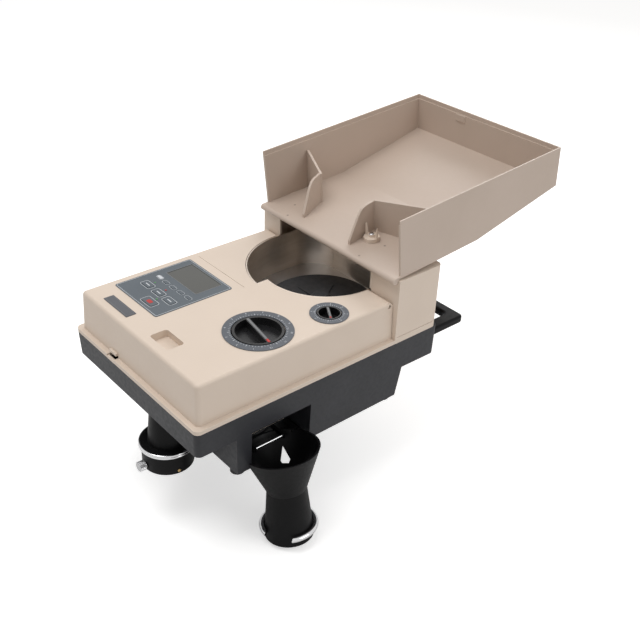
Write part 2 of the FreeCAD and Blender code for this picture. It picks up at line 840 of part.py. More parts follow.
def top_cover():
    flange = round_block(-half_width, half_width, front_y, seam_y + 60, case_corner, cover_low, cover_low + flange_rise)
    walls = cover_taper(0, cover_low, cover_top, cover_corner)
    rim = [e for e in walls.Edges if e.BoundBox.ZMin > cover_top - 0.1]
    walls = walls.makeFillet(cover_edge, rim)
    shell = merged([flange, walls]).cut(cover_taper(skin, cover_low - 0.01, under_cover, cover_corner - skin))
    shell = shell.cut(box(-half_width, half_width, seam_y, seam_y + 100, 0, cover_top + 1))
    shell = shell.cut(box(-half_width, half_width, hinge_y, seam_y + 1, hinge_z, cover_top + 1))
    pocket = round_block(finger_left - skin, finger_right + skin, finger_front - skin, finger_rear + skin, 6,
                         cover_top - finger_depth - skin, under_cover + 0.5)
    hole = bowl_block(0, under_cover - 12, cover_top + 1)
    shell = merged([shell.cut(hole), pocket] + [piece.cut(hole) for piece in rear_lip()])
    shell = shell.cut(round_block(finger_left, finger_right, finger_front, finger_rear, 4,
                                  cover_top - finger_depth, cover_top + 1))
    shell = shell.cut(hinge_line(hinge_pin_radius + fit))
    dials = [(dial_x, dial_y, dial_ring_radius, dial_hole_radius)]
    dials += [(gate_dial_x, gate_dial_y, gate_ring_radius, gate_hole_radius)]
    for x, y, ring, hole in dials:
        shell = shell.cut(post(hole, x, y, under_cover - 1, cover_top + 1))
        shell = shell.cut(post(ring, x, y, cover_top - ring_seat, cover_top + 1))
    shell = shell.cut(round_block(panel_left, panel_right, panel_front, panel_rear, panel_corner,
                                  cover_top - panel_seat, cover_top + 1))
    shell = shell.cut(round_block(panel_left + 5, panel_right - 5, panel_front + 5, panel_rear - 5, 4,
                                  under_cover - 1, cover_top + 1))
    slot = box(catch_x - catch_width / 2, catch_x + catch_width / 2, front_y, front_y + 30,
               catch_low_z, catch_low_z + catch_rise)
    groove = box(panel_left, bowl_step_x - 2, -13.2, -12.2, cover_top - 0.7, cover_top + 1)
    return shell.cut(slot).cut(groove)


panel_top = cover_top - panel_seat + panel_sheet


def control_panel():
    panel = round_block(panel_left, panel_right, panel_front, panel_rear, panel_corner,
                        cover_top - panel_seat, panel_top)
    panel = panel.cut(box(window_left, window_right, window_front, window_rear, cover_top - 5, cover_top + 5))
    for name, x, y, width, depth in keys:
        panel = panel.cut(key_block(x, y, width, depth, key_gap, cover_top - 5, cover_top + 5))
    return panel


def key_block(x, y, width, depth, grow, z0, z1):
    return round_block(x - width / 2 - grow, x + width / 2 + grow, y - depth / 2 - grow, y + depth / 2 + grow,
                       2 + grow, z0, z1)


def key_cap(x, y, width, depth):
    low = cover_top - panel_seat - 0.4
    cap = key_block(x, y, width, depth, 0, low, panel_top + 0.5)
    skirt = key_block(x, y, width, depth, 1.2, low - 1.2, low)
    return merged([cap, skirt])


def display_window():
    return box(window_left, window_right, window_front, window_rear, cover_top - panel_seat, panel_top - 0.3)


board_drop = 6.0


def display_board():
    x0 = panel_left + 7
    x1 = panel_right - 7
    y0 = panel_front + 7
    y1 = panel_rear - 7
    top = cover_top - board_drop
    board = box(x0, x1, y0, y1, top - 1.6, top)
    pillars = [post(2.0, x, y, top, cover_top - panel_seat) for x in (x0 + 3, x1 - 3) for y in (y0 + 3, y1 - 3)]
    digits = box(window_left + 3, window_right - 3, window_front + 4, window_rear - 4, top, cover_top - panel_seat)
    return merged([board, digits] + pillars)


def hinge_brackets():
    pieces = []
    for x0, x1 in hinge_spans:
        low = x0 - running_gap - hinge_ear
        high = x1 + running_gap
        ears = []
        for x in (low, high):
            eye = rod(ear_radius, vec(x, hinge_y, hinge_z), vec(x + hinge_ear, hinge_y, hinge_z))
            leg = box(x, x + hinge_ear, hinge_y - 8, hinge_y, deck_z, hinge_z)
            leg = leg.cut(box(x - 1, x + hinge_ear + 1, hinge_y - 9, hinge_y - ear_radius, hinge_z - 8, hinge_z + 1))
            ears += [eye, leg]
        web = box(low, high + hinge_ear, hinge_y - 8, hinge_y - 6, deck_z, hinge_z - 14)
        bracket = merged(ears + [web])
        pin_ends = (vec(low, hinge_y, hinge_z), vec(high + hinge_ear, hinge_y, hinge_z))
        pieces.append(bracket.cut(rod(hinge_pin_radius, *pin_ends)))
        pieces.append(rod(hinge_pin_radius, *pin_ends))
    return group(pieces)


def rear_cover():
    outer = round_block(-half_width, half_width, riser_front - 40, rear_y, case_corner, parting_z, riser_top)
    inner = round_block(-half_width + riser_wall, half_width - riser_wall, riser_front - 60, rear_y - riser_wall,
                        case_corner - riser_wall, parting_z - 1, riser_top - riser_wall)
    groove_z = parting_z + groove_height
    band = box(-half_width - 1, half_width + 1, 0, rear_y + 1, groove_z, groove_z + groove_size)
    core = round_block(-half_width + groove_size, half_width - groove_size, riser_front - 80, rear_y - groove_size,
                       case_corner - groove_size, groove_z - 1, groove_z + 2)
    case = outer.cut(inner).cut(band.cut(core))
    front = box(-half_width, half_width, riser_front, riser_front + riser_wall, parting_z, riser_top - riser_wall)
    front = front.cut(box(riser_open_left, riser_open_right, 0, rear_y, parting_z - 1, riser_top))
    front = front.cut(bowl_block(bowl_inset - ring_wall - running_gap, parting_z - 1, shield_top_z + 1))
    case = case.cut(box(-half_width - 1, half_width + 1, 0, riser_front, 0, riser_top + 1))
    case = merged([case, front])
    return case.cut(on_tray(tray_hole(screw_radius + fit)))


def on_tray(shape):
    """Tips a piece laid out level with the tray floor into its place on the riser."""
    tipped = shape.copy()
    tipped.rotate(vec(0, 0, 0), vec(1, 0, 0), tray_tilt)
    tipped.translate(vec(0, tray_y, tray_z))
    return tipped


def tray_hole(radius):
    return post(radius, wing_screw_x, wing_screw_reach, -30, tray_wall + 1)


def hopper_tray():
    outer = [(0, 0), (tray_flat, 0), (tray_length, tray_back_rise), (tray_length, tray_depth), (-3, tray_depth)]
    shell = side_prism(outer, -tray_half, tray_half)
    inside = [(-30, tray_wall), (tray_flat, tray_wall), (tray_length - tray_wall, tray_back_rise + tray_wall)]
    inside += [(tray_length - tray_wall, tray_depth + 1), (-30, tray_depth + 1)]
    x = tray_half - tray_wall
    shell = shell.cut(side_prism(inside, -x, x))
    wide = x + tray_rabbet
    shell = shell.cut(box(-wide, wide, -30, tray_length - tray_wall + tray_rabbet,
                          tray_depth - tray_rabbet_drop, tray_depth + 1))
    lip = box(-tray_half, tray_half, -bead_reach, 1, 0, tray_wall)
    bead_z = tray_wall - bead_radius
    bead = rod(bead_radius, vec(-tray_half, -bead_reach, bead_z), vec(tray_half, -bead_reach, bead_z))
    shell = on_tray(merged([shell, lip, bead]))
    rise = math.tan(math.radians(tray_tilt))
    front = riser_front + 4
    rear = rear_y - 6
    rib = [(front, riser_top), (rear, riser_top), (rear, tray_z + (rear - tray_y) * rise + 1)]
    rib += [(front, tray_z + (front - tray_y) * rise + 1)]
    ribs = [side_prism(rib, x - 3, x + 3) for x in (-100.0, -30.0, 100.0)]
    ribs.append(side_prism(rib, wing_screw_x - 7, wing_screw_x + 7))
    return merged([shell] + ribs).cut(on_tray(tray_hole(screw_radius + fit)))


def slanted_wall(start, end, low, high):
    """An upright plate between two plan points whose top rises from low to high."""
    across = vec(start[1] - end[1], end[0] - start[0], 0)
    across.normalize()
    across.multiply(guide_wall)
    points = [vec(start[0], start[1], tray_wall), vec(end[0], end[1], tray_wall)]
    points += [vec(end[0], end[1], tray_wall + high), vec(start[0], start[1], tray_wall + low)]
    return polygon(points).extrude(across)


def coin_guide(x, side, drift, turn):
    """A plate along the coins' way, turned in plan about its rear corner, with a plate out to the tray's side."""
    wall_x = side * (tray_half - tray_wall)
    inner = x if side > 0 else x - guide_wall
    profile = [(4, tray_wall), (guide_corner_y + guide_wall, tray_wall)]
    top = tray_wall + guide_low
    profile += [(guide_corner_y + guide_wall, top), (36, top), (28, top - 2), (22, top - 8), (4, tray_wall + 5)]
    straight = side_prism(profile, inner, inner + guide_wall)
    straight.rotate(vec(x, guide_corner_y, 0), vec(0, 0, 1), turn)
    corner = (x, guide_corner_y)
    wall = (wall_x, guide_corner_y + drift)
    ends = (corner, wall) if side > 0 else (wall, corner)
    heights = (guide_low, guide_high) if side > 0 else (guide_high, guide_low)
    plate = slanted_wall(ends[0], ends[1], *heights)
    inside = box(-tray_half + tray_wall, tray_half - tray_wall, 0, tray_flat, 0, tray_depth)
    return on_tray(merged([straight, plate]).common(inside))


def coin_guides():
    return group([coin_guide(guide_right_x, 1, guide_right_drift, guide_right_turn),
                  coin_guide(guide_left_x, -1, guide_left_drift, guide_left_turn)])


def tray_wing_screw():
    x = wing_screw_x
    y = wing_screw_reach
    low = tray_wall + 0.3
    base = post(wing_base_radius, x, y, low, low + wing_base_rise)
    shank = post(screw_radius, x, y, -7.5, low)
    head = post(screw_radius * 1.6, x, y, low + wing_base_rise, low + wing_base_rise + 3)
    wings = []
    for side in (-1, 1):
        outer = x + side * wing_base_radius
        inner = x + side * 5
        points = [vec(inner, y - 1.2, low + 1), vec(outer, y - 1.2, low + 1)]
        points += [vec(outer, y - 1.2, low + wing_base_rise + wing_rise)]
        wings.append(polygon(points).extrude(vec(0, 2.4, 0)))
    return on_tray(merged([base, shank, head] + wings))


def count_spout():
    """A tube that widens from a brim on the shelf down to a straight end in the collar."""
    top = shelf_z + base_wall
    low = collar_top - collar_socket
    flare_low = vec(spout_x, spout_y, collar_top)
    flare_top = vec(spout_x, spout_y, top)
    bore = spout_top_radius - spout_wall
    outer = cone(spout_radius, spout_top_radius, flare_low, flare_top)
    inner = cone(spout_radius - spout_wall, bore, flare_low, flare_top)
    pipe = post(spout_radius, spout_x, spout_y, low, collar_top)
    brim = post(spout_top_radius + spout_brim_reach, spout_x, spout_y, top, top + spout_brim)
    body = merged([outer, pipe, brim]).cut(inner)
    body = body.cut(post(spout_radius - spout_wall, spout_x, spout_y, low - 1, collar_top))
    return body.cut(post(bore, spout_x, spout_y, top, top + spout_brim + 1))


collar_top = spout_low_z + collar_rise
thumb_angle = 268.0


def collar_side(radius, z):
    turn = math.radians(thumb_angle)
    return vec(spout_x + radius * math.cos(turn), spout_y + radius * math.sin(turn), z)


thumb_z = collar_top - thumb_drop


def spout_collar():
    body = post(collar_radius, spout_x, spout_y, spout_low_z, collar_top)
    body = body.cut(post(spout_radius + fit, spout_x, spout_y, collar_top - collar_socket, collar_top + 1))
    body = body.cut(post(spout_radius - spout_wall, spout_x, spout_y, spout_low_z - 1, collar_top))
    return body.cut(rod(2 + fit, collar_side(spout_radius - 6, thumb_z), collar_side(collar_radius + 4, thumb_z)))


def thumb_screw():
    shank = rod(2.0, collar_side(spout_radius + 0.3, thumb_z), collar_side(collar_radius + 1, thumb_z))
    head = rod(5.5, collar_side(collar_radius + 0.6, thumb_z), collar_side(collar_radius + 9, thumb_z))
    return merged([shank, head])


def spout_ring():
    """Two turns of round wire lying round the collar's upper edge."""
    turns = []
    for number in range(2):
        z = collar_top - bag_ring_wire * (1 + 2 * number) - fit * number
        turns.append(Part.makeTorus(collar_radius + bag_ring_wire + fit, bag_ring_wire, vec(spout_x, spout_y, z)))
    return group(turns)


funnel_rim = vec(funnel_rim_x, funnel_y, funnel_rim_z)
funnel_neck = vec(funnel_neck_x, funnel_y, funnel_neck_z)
funnel_low = vec(funnel_low_x, funnel_y, funnel_low_z)
rod_x = half_width - 22
rod_z = 11.2
rod_radius = 1.5


def funnel_solid(inset, spare):
    """The bowl and the skirt of the funnel as cones, moved inwards by inset and run on by spare."""
    up = funnel_rim.sub(funnel_neck)
    up.normalize()
    down = funnel_low.sub(funnel_neck)
    down.normalize()
    bowl_rate = (funnel_rim_radius - funnel_neck_radius) / funnel_rim.sub(funnel_neck).Length
    skirt_rate = (funnel_low_radius - funnel_neck_radius) / funnel_low.sub(funnel_neck).Length
    top = vec(*(funnel_rim + up * spare))
    foot = vec(*(funnel_low + down * spare))
    bowl = cone(funnel_neck_radius - inset, funnel_rim_radius + bowl_rate * spare - inset, funnel_neck, top)
    skirt = cone(funnel_neck_radius - inset, funnel_low_radius + skirt_rate * spare - inset, funnel_neck, foot)
    ball = Part.makeSphere(funnel_neck_radius - inset, funnel_neck)
    return merged([bowl, skirt, ball])


def off_sort_funnel():
    """The funnel with its back plate, two arms for the cross rod and a see-through window in its wall."""
    body = funnel_solid(0, 0)
    back_x = recess_x + fit
    plate = box(back_x, back_x + 3, recess_front_y + 1, recess_rear_y - 1, -14, chute_low_z - 8)
    rear = recess_rear_y - 1
    tab = box(back_x, rod_x + 4, rear - 3, rear, -14, chute_low_z - 14)
    body = merged([body, plate, tab]).cut(funnel_solid(funnel_wall, 20))
    front = recess_front_y + 0.5
    body = body.cut(box(recess_x, half_width + 0.5, front - 20, front, foot_rise - 2, shelf_z))
    aim = vec(*funnel_window_aim)
    corners = [funnel_rim + vec(*offset) - aim * 6 for offset in funnel_window]
    body = body.cut(polygon(corners).extrude(aim * 14))
    rows = (funnel_y - funnel_arm_reach, funnel_y + funnel_arm_reach)
    arms = [box(back_x, rod_x + 3, y - 1.5, y + 1.5, rod_z - 3, rod_z + 3) for y in rows]
    rod_way = rod(rod_radius, vec(rod_x, funnel_y - 60, rod_z), vec(rod_x, funnel_y + 60, rod_z))
    return merged([body] + arms).cut(rod_way)


def funnel_rod():
    half = funnel_arm_reach + 1.5
    return rod(rod_radius, vec(rod_x, funnel_y - half, rod_z), vec(rod_x, funnel_y + half, rod_z))


ring_gap = 35.0
ring_gap_turn = 27.4


def funnel_ring():
    """A round wire ring, open at the front, gripping the funnel's lower edge."""
    down = funnel_low.sub(funnel_neck)
    rate = (funnel_low_radius - funnel_neck_radius) / down.Length
    centre = vec(*(funnel_low - down * (funnel_ring_lift / down.Length)))
    radius = funnel_low_radius - rate * funnel_ring_lift + funnel_ring_wire + fit
    ring = Part.makeTorus(radius, funnel_ring_wire, centre, down)
    gap = box(-ring_gap / 2, ring_gap / 2, -2 * radius, 0, -2 * funnel_ring_wire, 2 * funnel_ring_wire)
    gap.rotate(vec(0, 0, 0), vec(0, 0, 1), ring_gap_turn)
    gap.translate(centre)
    return ring.cut(gap)


transformer_inset = 30.0
transformer_front = 16.0
transformer_width = 55.0
transformer_rise = 48.0
coil_step = 9.0


def transformer():
    floor_z = foot_rise + base_wall
    left = transformer_inset - half_width
    right = left + transformer_width
    front = well_front_y + transformer_front
    core = box(left, right, front, front + transformer_width, floor_z, floor_z + transformer_rise)
    coil = box(left + coil_step, right - coil_step, front - coil_step, front + transformer_width + coil_step,
               floor_z + coil_step, floor_z + transformer_rise - coil_step)
    return merged([core, coil])


board_inset = 22.0
board_width = 104.0
board_depth = 86.0
board_front = -4.0
board_pillar = 8.0
board_sheet = 1.6


def control_board():
    floor_z = foot_rise + base_wall
    low = floor_z + board_pillar
    top = low + board_sheet
    right = half_width - board_inset
    left = right - board_width
    rear = board_front + board_depth
    board = box(left, right, board_front, rear, low, top)
    corners = [(x, y) for x in (left + 6, right - 6) for y in (board_front + 6, rear - 6)]
    pillars = [post(3, x, y, floor_z, low) for x, y in corners]
    columns = [left + board_width * share for share in (0.15, 0.38, 0.61)]
    chips = [box(x, x + 14, board_front + 16, board_front + 38, top, top + 3.4) for x in columns]
    capacitors = [post(6, x + 6, board_front + 64, top, top + 16.4) for x in columns]
    return merged([board] + pillars + chips + capacitors)


socket_depth = 20.0


def power_inlet():
    x = -half_width
    half = inlet_width / 2
    tall = inlet_height / 2
    wall_in = 3.6
    flange = round_block(x - 2, x + 0, inlet_y - half - 4, inlet_y + half + 4, 0.9, inlet_z - tall - 2, inlet_z + tall + 2)
    body = box(x, x + socket_depth, inlet_y - half + fit, inlet_y + half - fit,
               inlet_z - tall + fit, inlet_z + tall - fit)
    well = box(x - 3, x + socket_depth - wall_in, inlet_y - half + 2, inlet_y + half - 2,
               inlet_z - tall + 2, inlet_z + tall - 2)
    pins = [box(x + 2, x + socket_depth, y - 1, y + 1, z - 2.5, z + 2.5)
            for y, z in ((inlet_y - 7, inlet_z - 1), (inlet_y, inlet_z + 3), (inlet_y + 7, inlet_z - 1))]
    return merged([flange, body]).cut(well).multiFuse(pins).removeSplitter()


rocker_half = 9.0


def rocker_frame():
    x = -half_width
    outer = box(x - 1.6, x + 14, rocker_y - 11 + fit, rocker_y + 11 - fit, inlet_z - 7.5 + fit, inlet_z + 7.5 - fit)
    lip = box(x - 1.6, x, rocker_y - 13, rocker_y + 13, inlet_z - 9.5, inlet_z + 9.5)
    hole = box(x - 3, x + 12, rocker_y - rocker_half - 0.6, rocker_y + rocker_half + 0.6, inlet_z - 5.6, inlet_z + 5.6)
    pivot = rod(1.5 + fit, vec(x + 4, rocker_y, inlet_z - 7), vec(x + 4, rocker_y, inlet_z + 7))
    return merged([outer, lip]).cut(hole).cut(pivot)


def power_rocker():
    x = -half_width
    points = [(x + 8, rocker_y - 4), (x + 8, rocker_y + 4), (x + 1.5, rocker_y + rocker_half)]
    points += [(x - 1.8, rocker_y + rocker_half - 1), (x - 0.6, rocker_y), (x - 1.8, rocker_y - rocker_half + 1)]
    points += [(x + 1.5, rocker_y - rocker_half)]
    body = plan_prism(points, inlet_z - 5.2, inlet_z + 5.2)
    pivot = rod(1.5, vec(x + 4, rocker_y, inlet_z - 6.8), vec(x + 4, rocker_y, inlet_z + 6.8))
    return merged([body, pivot])


catch_front = front_y + flange_step + cover_draft + skin + 1.0
catch_length = 26.0
catch_inset = 2.0
catch_travel = 3.0


def catch_block(grow, y0, y1):
    half = catch_width / 2 - catch_inset + grow
    return box(catch_x - half, catch_x + half, y0, y1, catch_low_z + catch_inset - grow,
               catch_low_z + catch_rise - catch_inset + grow)


def cover_catch():
    tongue = catch_block(0, catch_front, catch_front + catch_length)
    stop = catch_block(2.5, catch_front + catch_length - 4, catch_front + catch_length)
    return merged([tongue, stop])


def catch_bracket():
    y0 = catch_front + 8
    y1 = catch_front + catch_length - 4 - catch_travel - 0.4
    half = catch_width / 2 + 4
    body = box(catch_x - half, catch_x + half, y0, y1 + catch_travel, deck_z, catch_low_z + catch_rise + 3)
    return body.cut(catch_block(0.3, y0 - 1, y1 + 10))


nodes = {
    "base_pan": base_pan,
    "feet": feet,
    "carry_handle": carry_handle,
    "chassis_deck": chassis_deck,
    "deck_screws": deck_screws,
    "hinge_brackets": hinge_brackets,
    "rear_cover": rear_cover,
    "hopper_tray": hopper_tray,
    "coin_guides": coin_guides,
    "tray_wing_screw": tray_wing_screw,
    "hopper_base": hopper_base,
    "hopper_ring": hopper_ring,
    "hopper_shield": hopper_shield,
    "feed_disc": feed_disc,
    "disc_shaft": disc_shaft,
    "bearing_housing": bearing_housing,
    "disc_bearing": disc_bearing,
    "disc_pulley": disc_pulley,
    "drive_belt": drive_belt,
    "drive_motor": drive_motor,
    "motor_pulley": motor_pulley,
    "coin_rail": coin_rail,
    "gauge_slide": gauge_slide,
    "gauge_shaft": gauge_shaft,
    "thickness_gate": thickness_gate,
    "gate_screw": gate_screw,
    "deck_brackets": deck_brackets,
    "belt_frame": belt_frame,
    "transport_belt": transport_belt,
    "transport_motor": transport_motor,
    "count_sensor": count_sensor,
    "off_sort_chute": off_sort_chute,
    "count_chute": count_chute,
    "top_cover": top_cover,
    "control_panel": control_panel,
    "display_window": display_window,
    "display_board": display_board,
    "count_spout": count_spout,
    "spout_collar": spout_collar,
    "spout_ring": spout_ring,
    "thumb_screw": thumb_screw,
    "off_sort_funnel": off_sort_funnel,
    "funnel_rod": funnel_rod,
    "funnel_ring": funnel_ring,
    "transformer": transformer,
    "control_board": control_board,
    "power_inlet": power_inlet,
    "switch_frame": rocker_frame,
    "power_rocker": power_rocker,
    "cover_catch": cover_catch,
    "diameter_ring": lambda: dial_ring(dial_x, dial_y, dial_ring_radius, dial_hole_radius),
    "diameter_knob": lambda: knob(dial_x, dial_y, dial_knob_radius, dial_bar, dial_turn),
    "thickness_ring": lambda: dial_ring(gate_dial_x, gate_dial_y, gate_ring_radius, gate_hole_radius),
    "thickness_knob": lambda: knob(gate_dial_x, gate_dial_y, gate_knob_radius, gate_bar, gate_turn),
    "rear_roller": lambda: roller(-roller_rear),
    "front_roller": lambda: roller(-roller_front),
}


def main():
    os.makedirs("parts", exist_ok=True)
    for name, make in nodes.items():
        make().exportStep(os.path.join("parts", name + ".step"))
    for name, x, y, width, depth in keys:
        key_cap(x, y, width, depth).exportStep(os.path.join("parts", name + ".step"))


if __name__ == "__main__":
    main()
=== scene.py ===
# %% [markdown]
# This lesson dresses a table-top coin sorting machine. Its solids come packed, as named nodes on bodies that
# move. They could be imported by hand, but then each would have to be tied to its body again.

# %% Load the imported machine
import json
import math
import bpy
import numpy as np
from mathutils import Matrix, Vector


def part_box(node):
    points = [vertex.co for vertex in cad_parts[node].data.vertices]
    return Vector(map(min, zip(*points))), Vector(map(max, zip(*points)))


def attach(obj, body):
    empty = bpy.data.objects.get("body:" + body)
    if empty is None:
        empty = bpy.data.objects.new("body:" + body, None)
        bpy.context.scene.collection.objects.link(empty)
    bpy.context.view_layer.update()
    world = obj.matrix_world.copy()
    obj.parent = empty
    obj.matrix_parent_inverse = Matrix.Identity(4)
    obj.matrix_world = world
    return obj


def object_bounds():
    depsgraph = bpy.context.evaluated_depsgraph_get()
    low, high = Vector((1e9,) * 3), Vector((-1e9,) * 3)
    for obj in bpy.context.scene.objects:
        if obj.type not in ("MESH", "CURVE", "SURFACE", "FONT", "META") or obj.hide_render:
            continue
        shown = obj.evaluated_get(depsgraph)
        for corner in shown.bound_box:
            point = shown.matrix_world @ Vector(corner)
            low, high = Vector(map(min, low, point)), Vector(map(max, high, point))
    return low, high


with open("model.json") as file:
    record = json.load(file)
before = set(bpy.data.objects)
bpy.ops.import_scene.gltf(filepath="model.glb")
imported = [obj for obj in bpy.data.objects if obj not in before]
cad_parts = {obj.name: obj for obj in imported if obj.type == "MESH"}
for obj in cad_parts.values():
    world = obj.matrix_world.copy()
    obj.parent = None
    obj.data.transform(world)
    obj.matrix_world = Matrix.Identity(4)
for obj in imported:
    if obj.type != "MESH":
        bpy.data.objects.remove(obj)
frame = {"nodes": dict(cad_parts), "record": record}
cad_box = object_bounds()
scene = bpy.context.scene
MM = 0.001

# %% [markdown]
# The camera stands in front of the machine, to its right and well above it, and is rolled by a little
# over two degrees. A constraint that tracks the machine could aim it, but it would keep the horizon
# level. So three perpendicular directions make the camera's turning matrix. Its place and its lens were
# worked out from the straight edges of the case, and the script only states them.

# %% Camera
VIEW_PIXELS = 640
FOCAL_PIXELS = 922.8
SENSOR_MM = 36.0
CAMERA_PLACE = (0.7682, -0.5806, 0.7082)
AZIMUTH = math.radians(48.44)
ELEVATION = math.radians(32.21)
ROLL = math.radians(2.34)


def turning_matrix(right, up, back, place):
    """Right, up, back and place are the matrix's four columns, above a last row of 0, 0, 0 and 1."""
    matrix = np.eye(4)
    matrix[:3] = np.stack([right, up, back, place], axis=1)
    return Matrix(matrix.tolist())


def camera_matrix():
    """Back points from the scene to the camera; right and up are square to it, then both roll about it."""
    back = np.array([math.sin(AZIMUTH) * math.cos(ELEVATION),
                     -math.cos(AZIMUTH) * math.cos(ELEVATION),
                     math.sin(ELEVATION)])
    level = np.array([math.cos(AZIMUTH), math.sin(AZIMUTH), 0.0])
    rise = np.cross(back, level)
    right = level * math.cos(ROLL) + rise * math.sin(ROLL)
    up = rise * math.cos(ROLL) - level * math.sin(ROLL)
    return turning_matrix(right, up, back, CAMERA_PLACE)


lens = bpy.data.cameras.new("photo_camera")
lens.sensor_width = SENSOR_MM
lens.lens = FOCAL_PIXELS / VIEW_PIXELS * SENSOR_MM
camera = bpy.data.objects.new("photo_camera", lens)
scene.collection.objects.link(camera)
camera.matrix_world = camera_matrix()
scene.camera = camera
print("lens mm", round(lens.lens, 2))

# %% [markdown]
# The machine is shown as in a plain studio, so the world is an even, pale surround. One strength for all
# rays would either grey the background or wash out the beige. A Light Path node parts them instead:
# camera, mirror and see-through rays find the full surround, and all other rays meet a dimmer, slightly
# warm one.

# %% Surround
scene.view_settings.view_transform = "Standard"
SURROUND_LIGHT = 0.45
SURROUND_TINT = (1.0, 0.985, 0.965, 1.0)


def larger_of(tree, first, second):
    """The larger of two values, from a Math node."""
    node = tree.nodes.new("ShaderNodeMath")
    node.operation = "MAXIMUM"
    tree.links.new(first, node.inputs[0])
    tree.links.new(second, node.inputs[1])
    return node.outputs[0]


def studio_world():
    """Strength one for camera, glossy and transmission rays, and a dimmer one for light on the object."""
    world = bpy.data.worlds.new("studio")
    world.use_nodes = True
    tree = world.node_tree
    tree.nodes.clear()
    path = tree.nodes.new("ShaderNodeLightPath").outputs
    mirrored = larger_of(tree, path["Is Glossy Ray"], path["Is Transmission Ray"])
    seen = larger_of(tree, path["Is Camera Ray"], mirrored)
    bright = tree.nodes.new("ShaderNodeBackground")
    dim = tree.nodes.new("ShaderNodeBackground")
    dim.inputs["Color"].default_value = SURROUND_TINT
    dim.inputs["Strength"].default_value = SURROUND_LIGHT
    mix = tree.nodes.new("ShaderNodeMixShader")
    out = tree.nodes.new("ShaderNodeOutputWorld")
    tree.links.new(seen, mix.inputs[0])
    tree.links.new(dim.outputs[0], mix.inputs[1])
    tree.links.new(bright.outputs[0], mix.inputs[2])
    tree.links.new(mix.outputs[0], out.inputs["Surface"])
    return world


scene.world = studio_world()
print("surround strength", SURROUND_LIGHT)

# %% [markdown]
# Three large lamps shape the machine: the key lamp above it, one to its right and one behind it. A sun
# lamp would be simpler, but its shadows are hard. A square area lamp gives a shadow that softens with
# distance, as a studio's soft box does.

# %% Lamps
WORLD_UP = (0.0, 0.0, 1.0)
CASE_MIDDLE = (0, 0.05, 0.1)
TRAY_FOOT = (0, 0.1, 0.15)


def unit(vector):
    """The vector divided by its own length."""
    return np.asarray(vector, float) / np.linalg.norm(vector)


def soft_lamp(name, place, target, size, power):
    """A square lamp turned so that its face looks from its place to the target."""
    data = bpy.data.lights.new(name, "AREA")
    data.size = size
    data.energy = power
    lamp = bpy.data.objects.new(name, data)
    scene.collection.objects.link(lamp)
    back = unit(np.subtract(place, target))
    right = unit(np.cross(WORLD_UP, back))
    lamp.matrix_world = turning_matrix(right, np.cross(back, right), back, place)


soft_lamp("key_lamp", place=(-0.2, -0.45, 1.9), target=CASE_MIDDLE, size=1.1, power=17)
soft_lamp("side_lamp", place=(1.5, 0.5, 0.95), target=CASE_MIDDLE, size=1.0, power=5.5)
soft_lamp("rear_lamp", place=(-0.7, 1.4, 1.3), target=TRAY_FOOT, size=1.0, power=9)

# %% [markdown]
# The two outlets hang lower than the machine's feet, so the floor lies just under the lowest outlet. A
# plane from the Add menu would do as well. Here it comes from four points, through the helper that later
# makes every small piece. It takes the shadow as a pale grey, and a glow that only camera rays see lifts
# it to the white of a studio.

# %% Floor
FLOOR_HALF = 6.0
FLOOR_GAP = 0.002
FLOOR_CORNERS = np.array([(-1, -1), (1, -1), (1, 1), (-1, 1)])
FLOOR_TONE = (0.92, 0.92, 0.92, 1)
FLOOR_ROUGHNESS = 0.9
FLOOR_GLOW = 0.5
WHITE = (1, 1, 1, 1)


def new_mesh_object(name, points, faces):
    """A mesh object from an array of points and a list of faces, linked to the scene."""
    mesh = bpy.data.meshes.new(name)
    mesh.from_pydata(np.asarray(points, float).tolist(), [], faces)
    mesh.update()
    made = bpy.data.objects.new(name, mesh)
    scene.collection.objects.link(made)
    return made


def floor_material():
    """A rough pale grey, with a glow of FLOOR_GLOW times Is Camera Ray, which is one or nought."""
    material = bpy.data.materials.new("floor_white")
    material.use_nodes = True
    tree = material.node_tree
    shader = tree.nodes["Principled BSDF"]
    shader.inputs["Base Color"].default_value = FLOOR_TONE
    shader.inputs["Roughness"].default_value = FLOOR_ROUGHNESS
    shader.inputs["Specular IOR Level"].default_value = 0.0
    path = tree.nodes.new("ShaderNodeLightPath")
    glow = tree.nodes.new("ShaderNodeMath")
    glow.operation = "MULTIPLY"
    glow.inputs[1].default_value = FLOOR_GLOW
    tree.links.new(path.outputs["Is Camera Ray"], glow.inputs[0])
    shader.inputs["Emission Color"].default_value = WHITE
    tree.links.new(glow.outputs[0], shader.inputs["Emission Strength"])
    return material


floor_z = cad_box[0][2] - FLOOR_GAP
floor_points = np.column_stack([FLOOR_HALF * FLOOR_CORNERS, np.full(len(FLOOR_CORNERS), floor_z)])
floor = new_mesh_object("floor", floor_points, [(0, 1, 2, 3)])
floor.data.materials.append(floor_material())
print("floor at", round(floor_z, 4))

# %% [markdown]
# Almost everything here is moulded plastic, plated steel or rubber. Image textures could show their
# surface, but they need files and a UV map for each piece. Noise needs neither, and Object coordinates
# keep it fixed to its piece. These helpers each add one step of such a finish to a node tree.

# %% Shader helpers
MIX_FIRST, MIX_SECOND, MIX_RESULT = 6, 7, 2


def blend_colours(tree, factor, first, second):
    """A colour that goes from first to second as factor goes from nought to one, by the colour sockets."""
    mix = tree.nodes.new("ShaderNodeMix")
    mix.data_type = "RGBA"
    tree.links.new(factor, mix.inputs[0])
    for socket, value in ((mix.inputs[MIX_FIRST], first), (mix.inputs[MIX_SECOND], second)):
        if hasattr(value, "is_output"):
            tree.links.new(value, socket)
        else:
            socket.default_value = (*value, 1.0)
    return mix.outputs[MIX_RESULT]


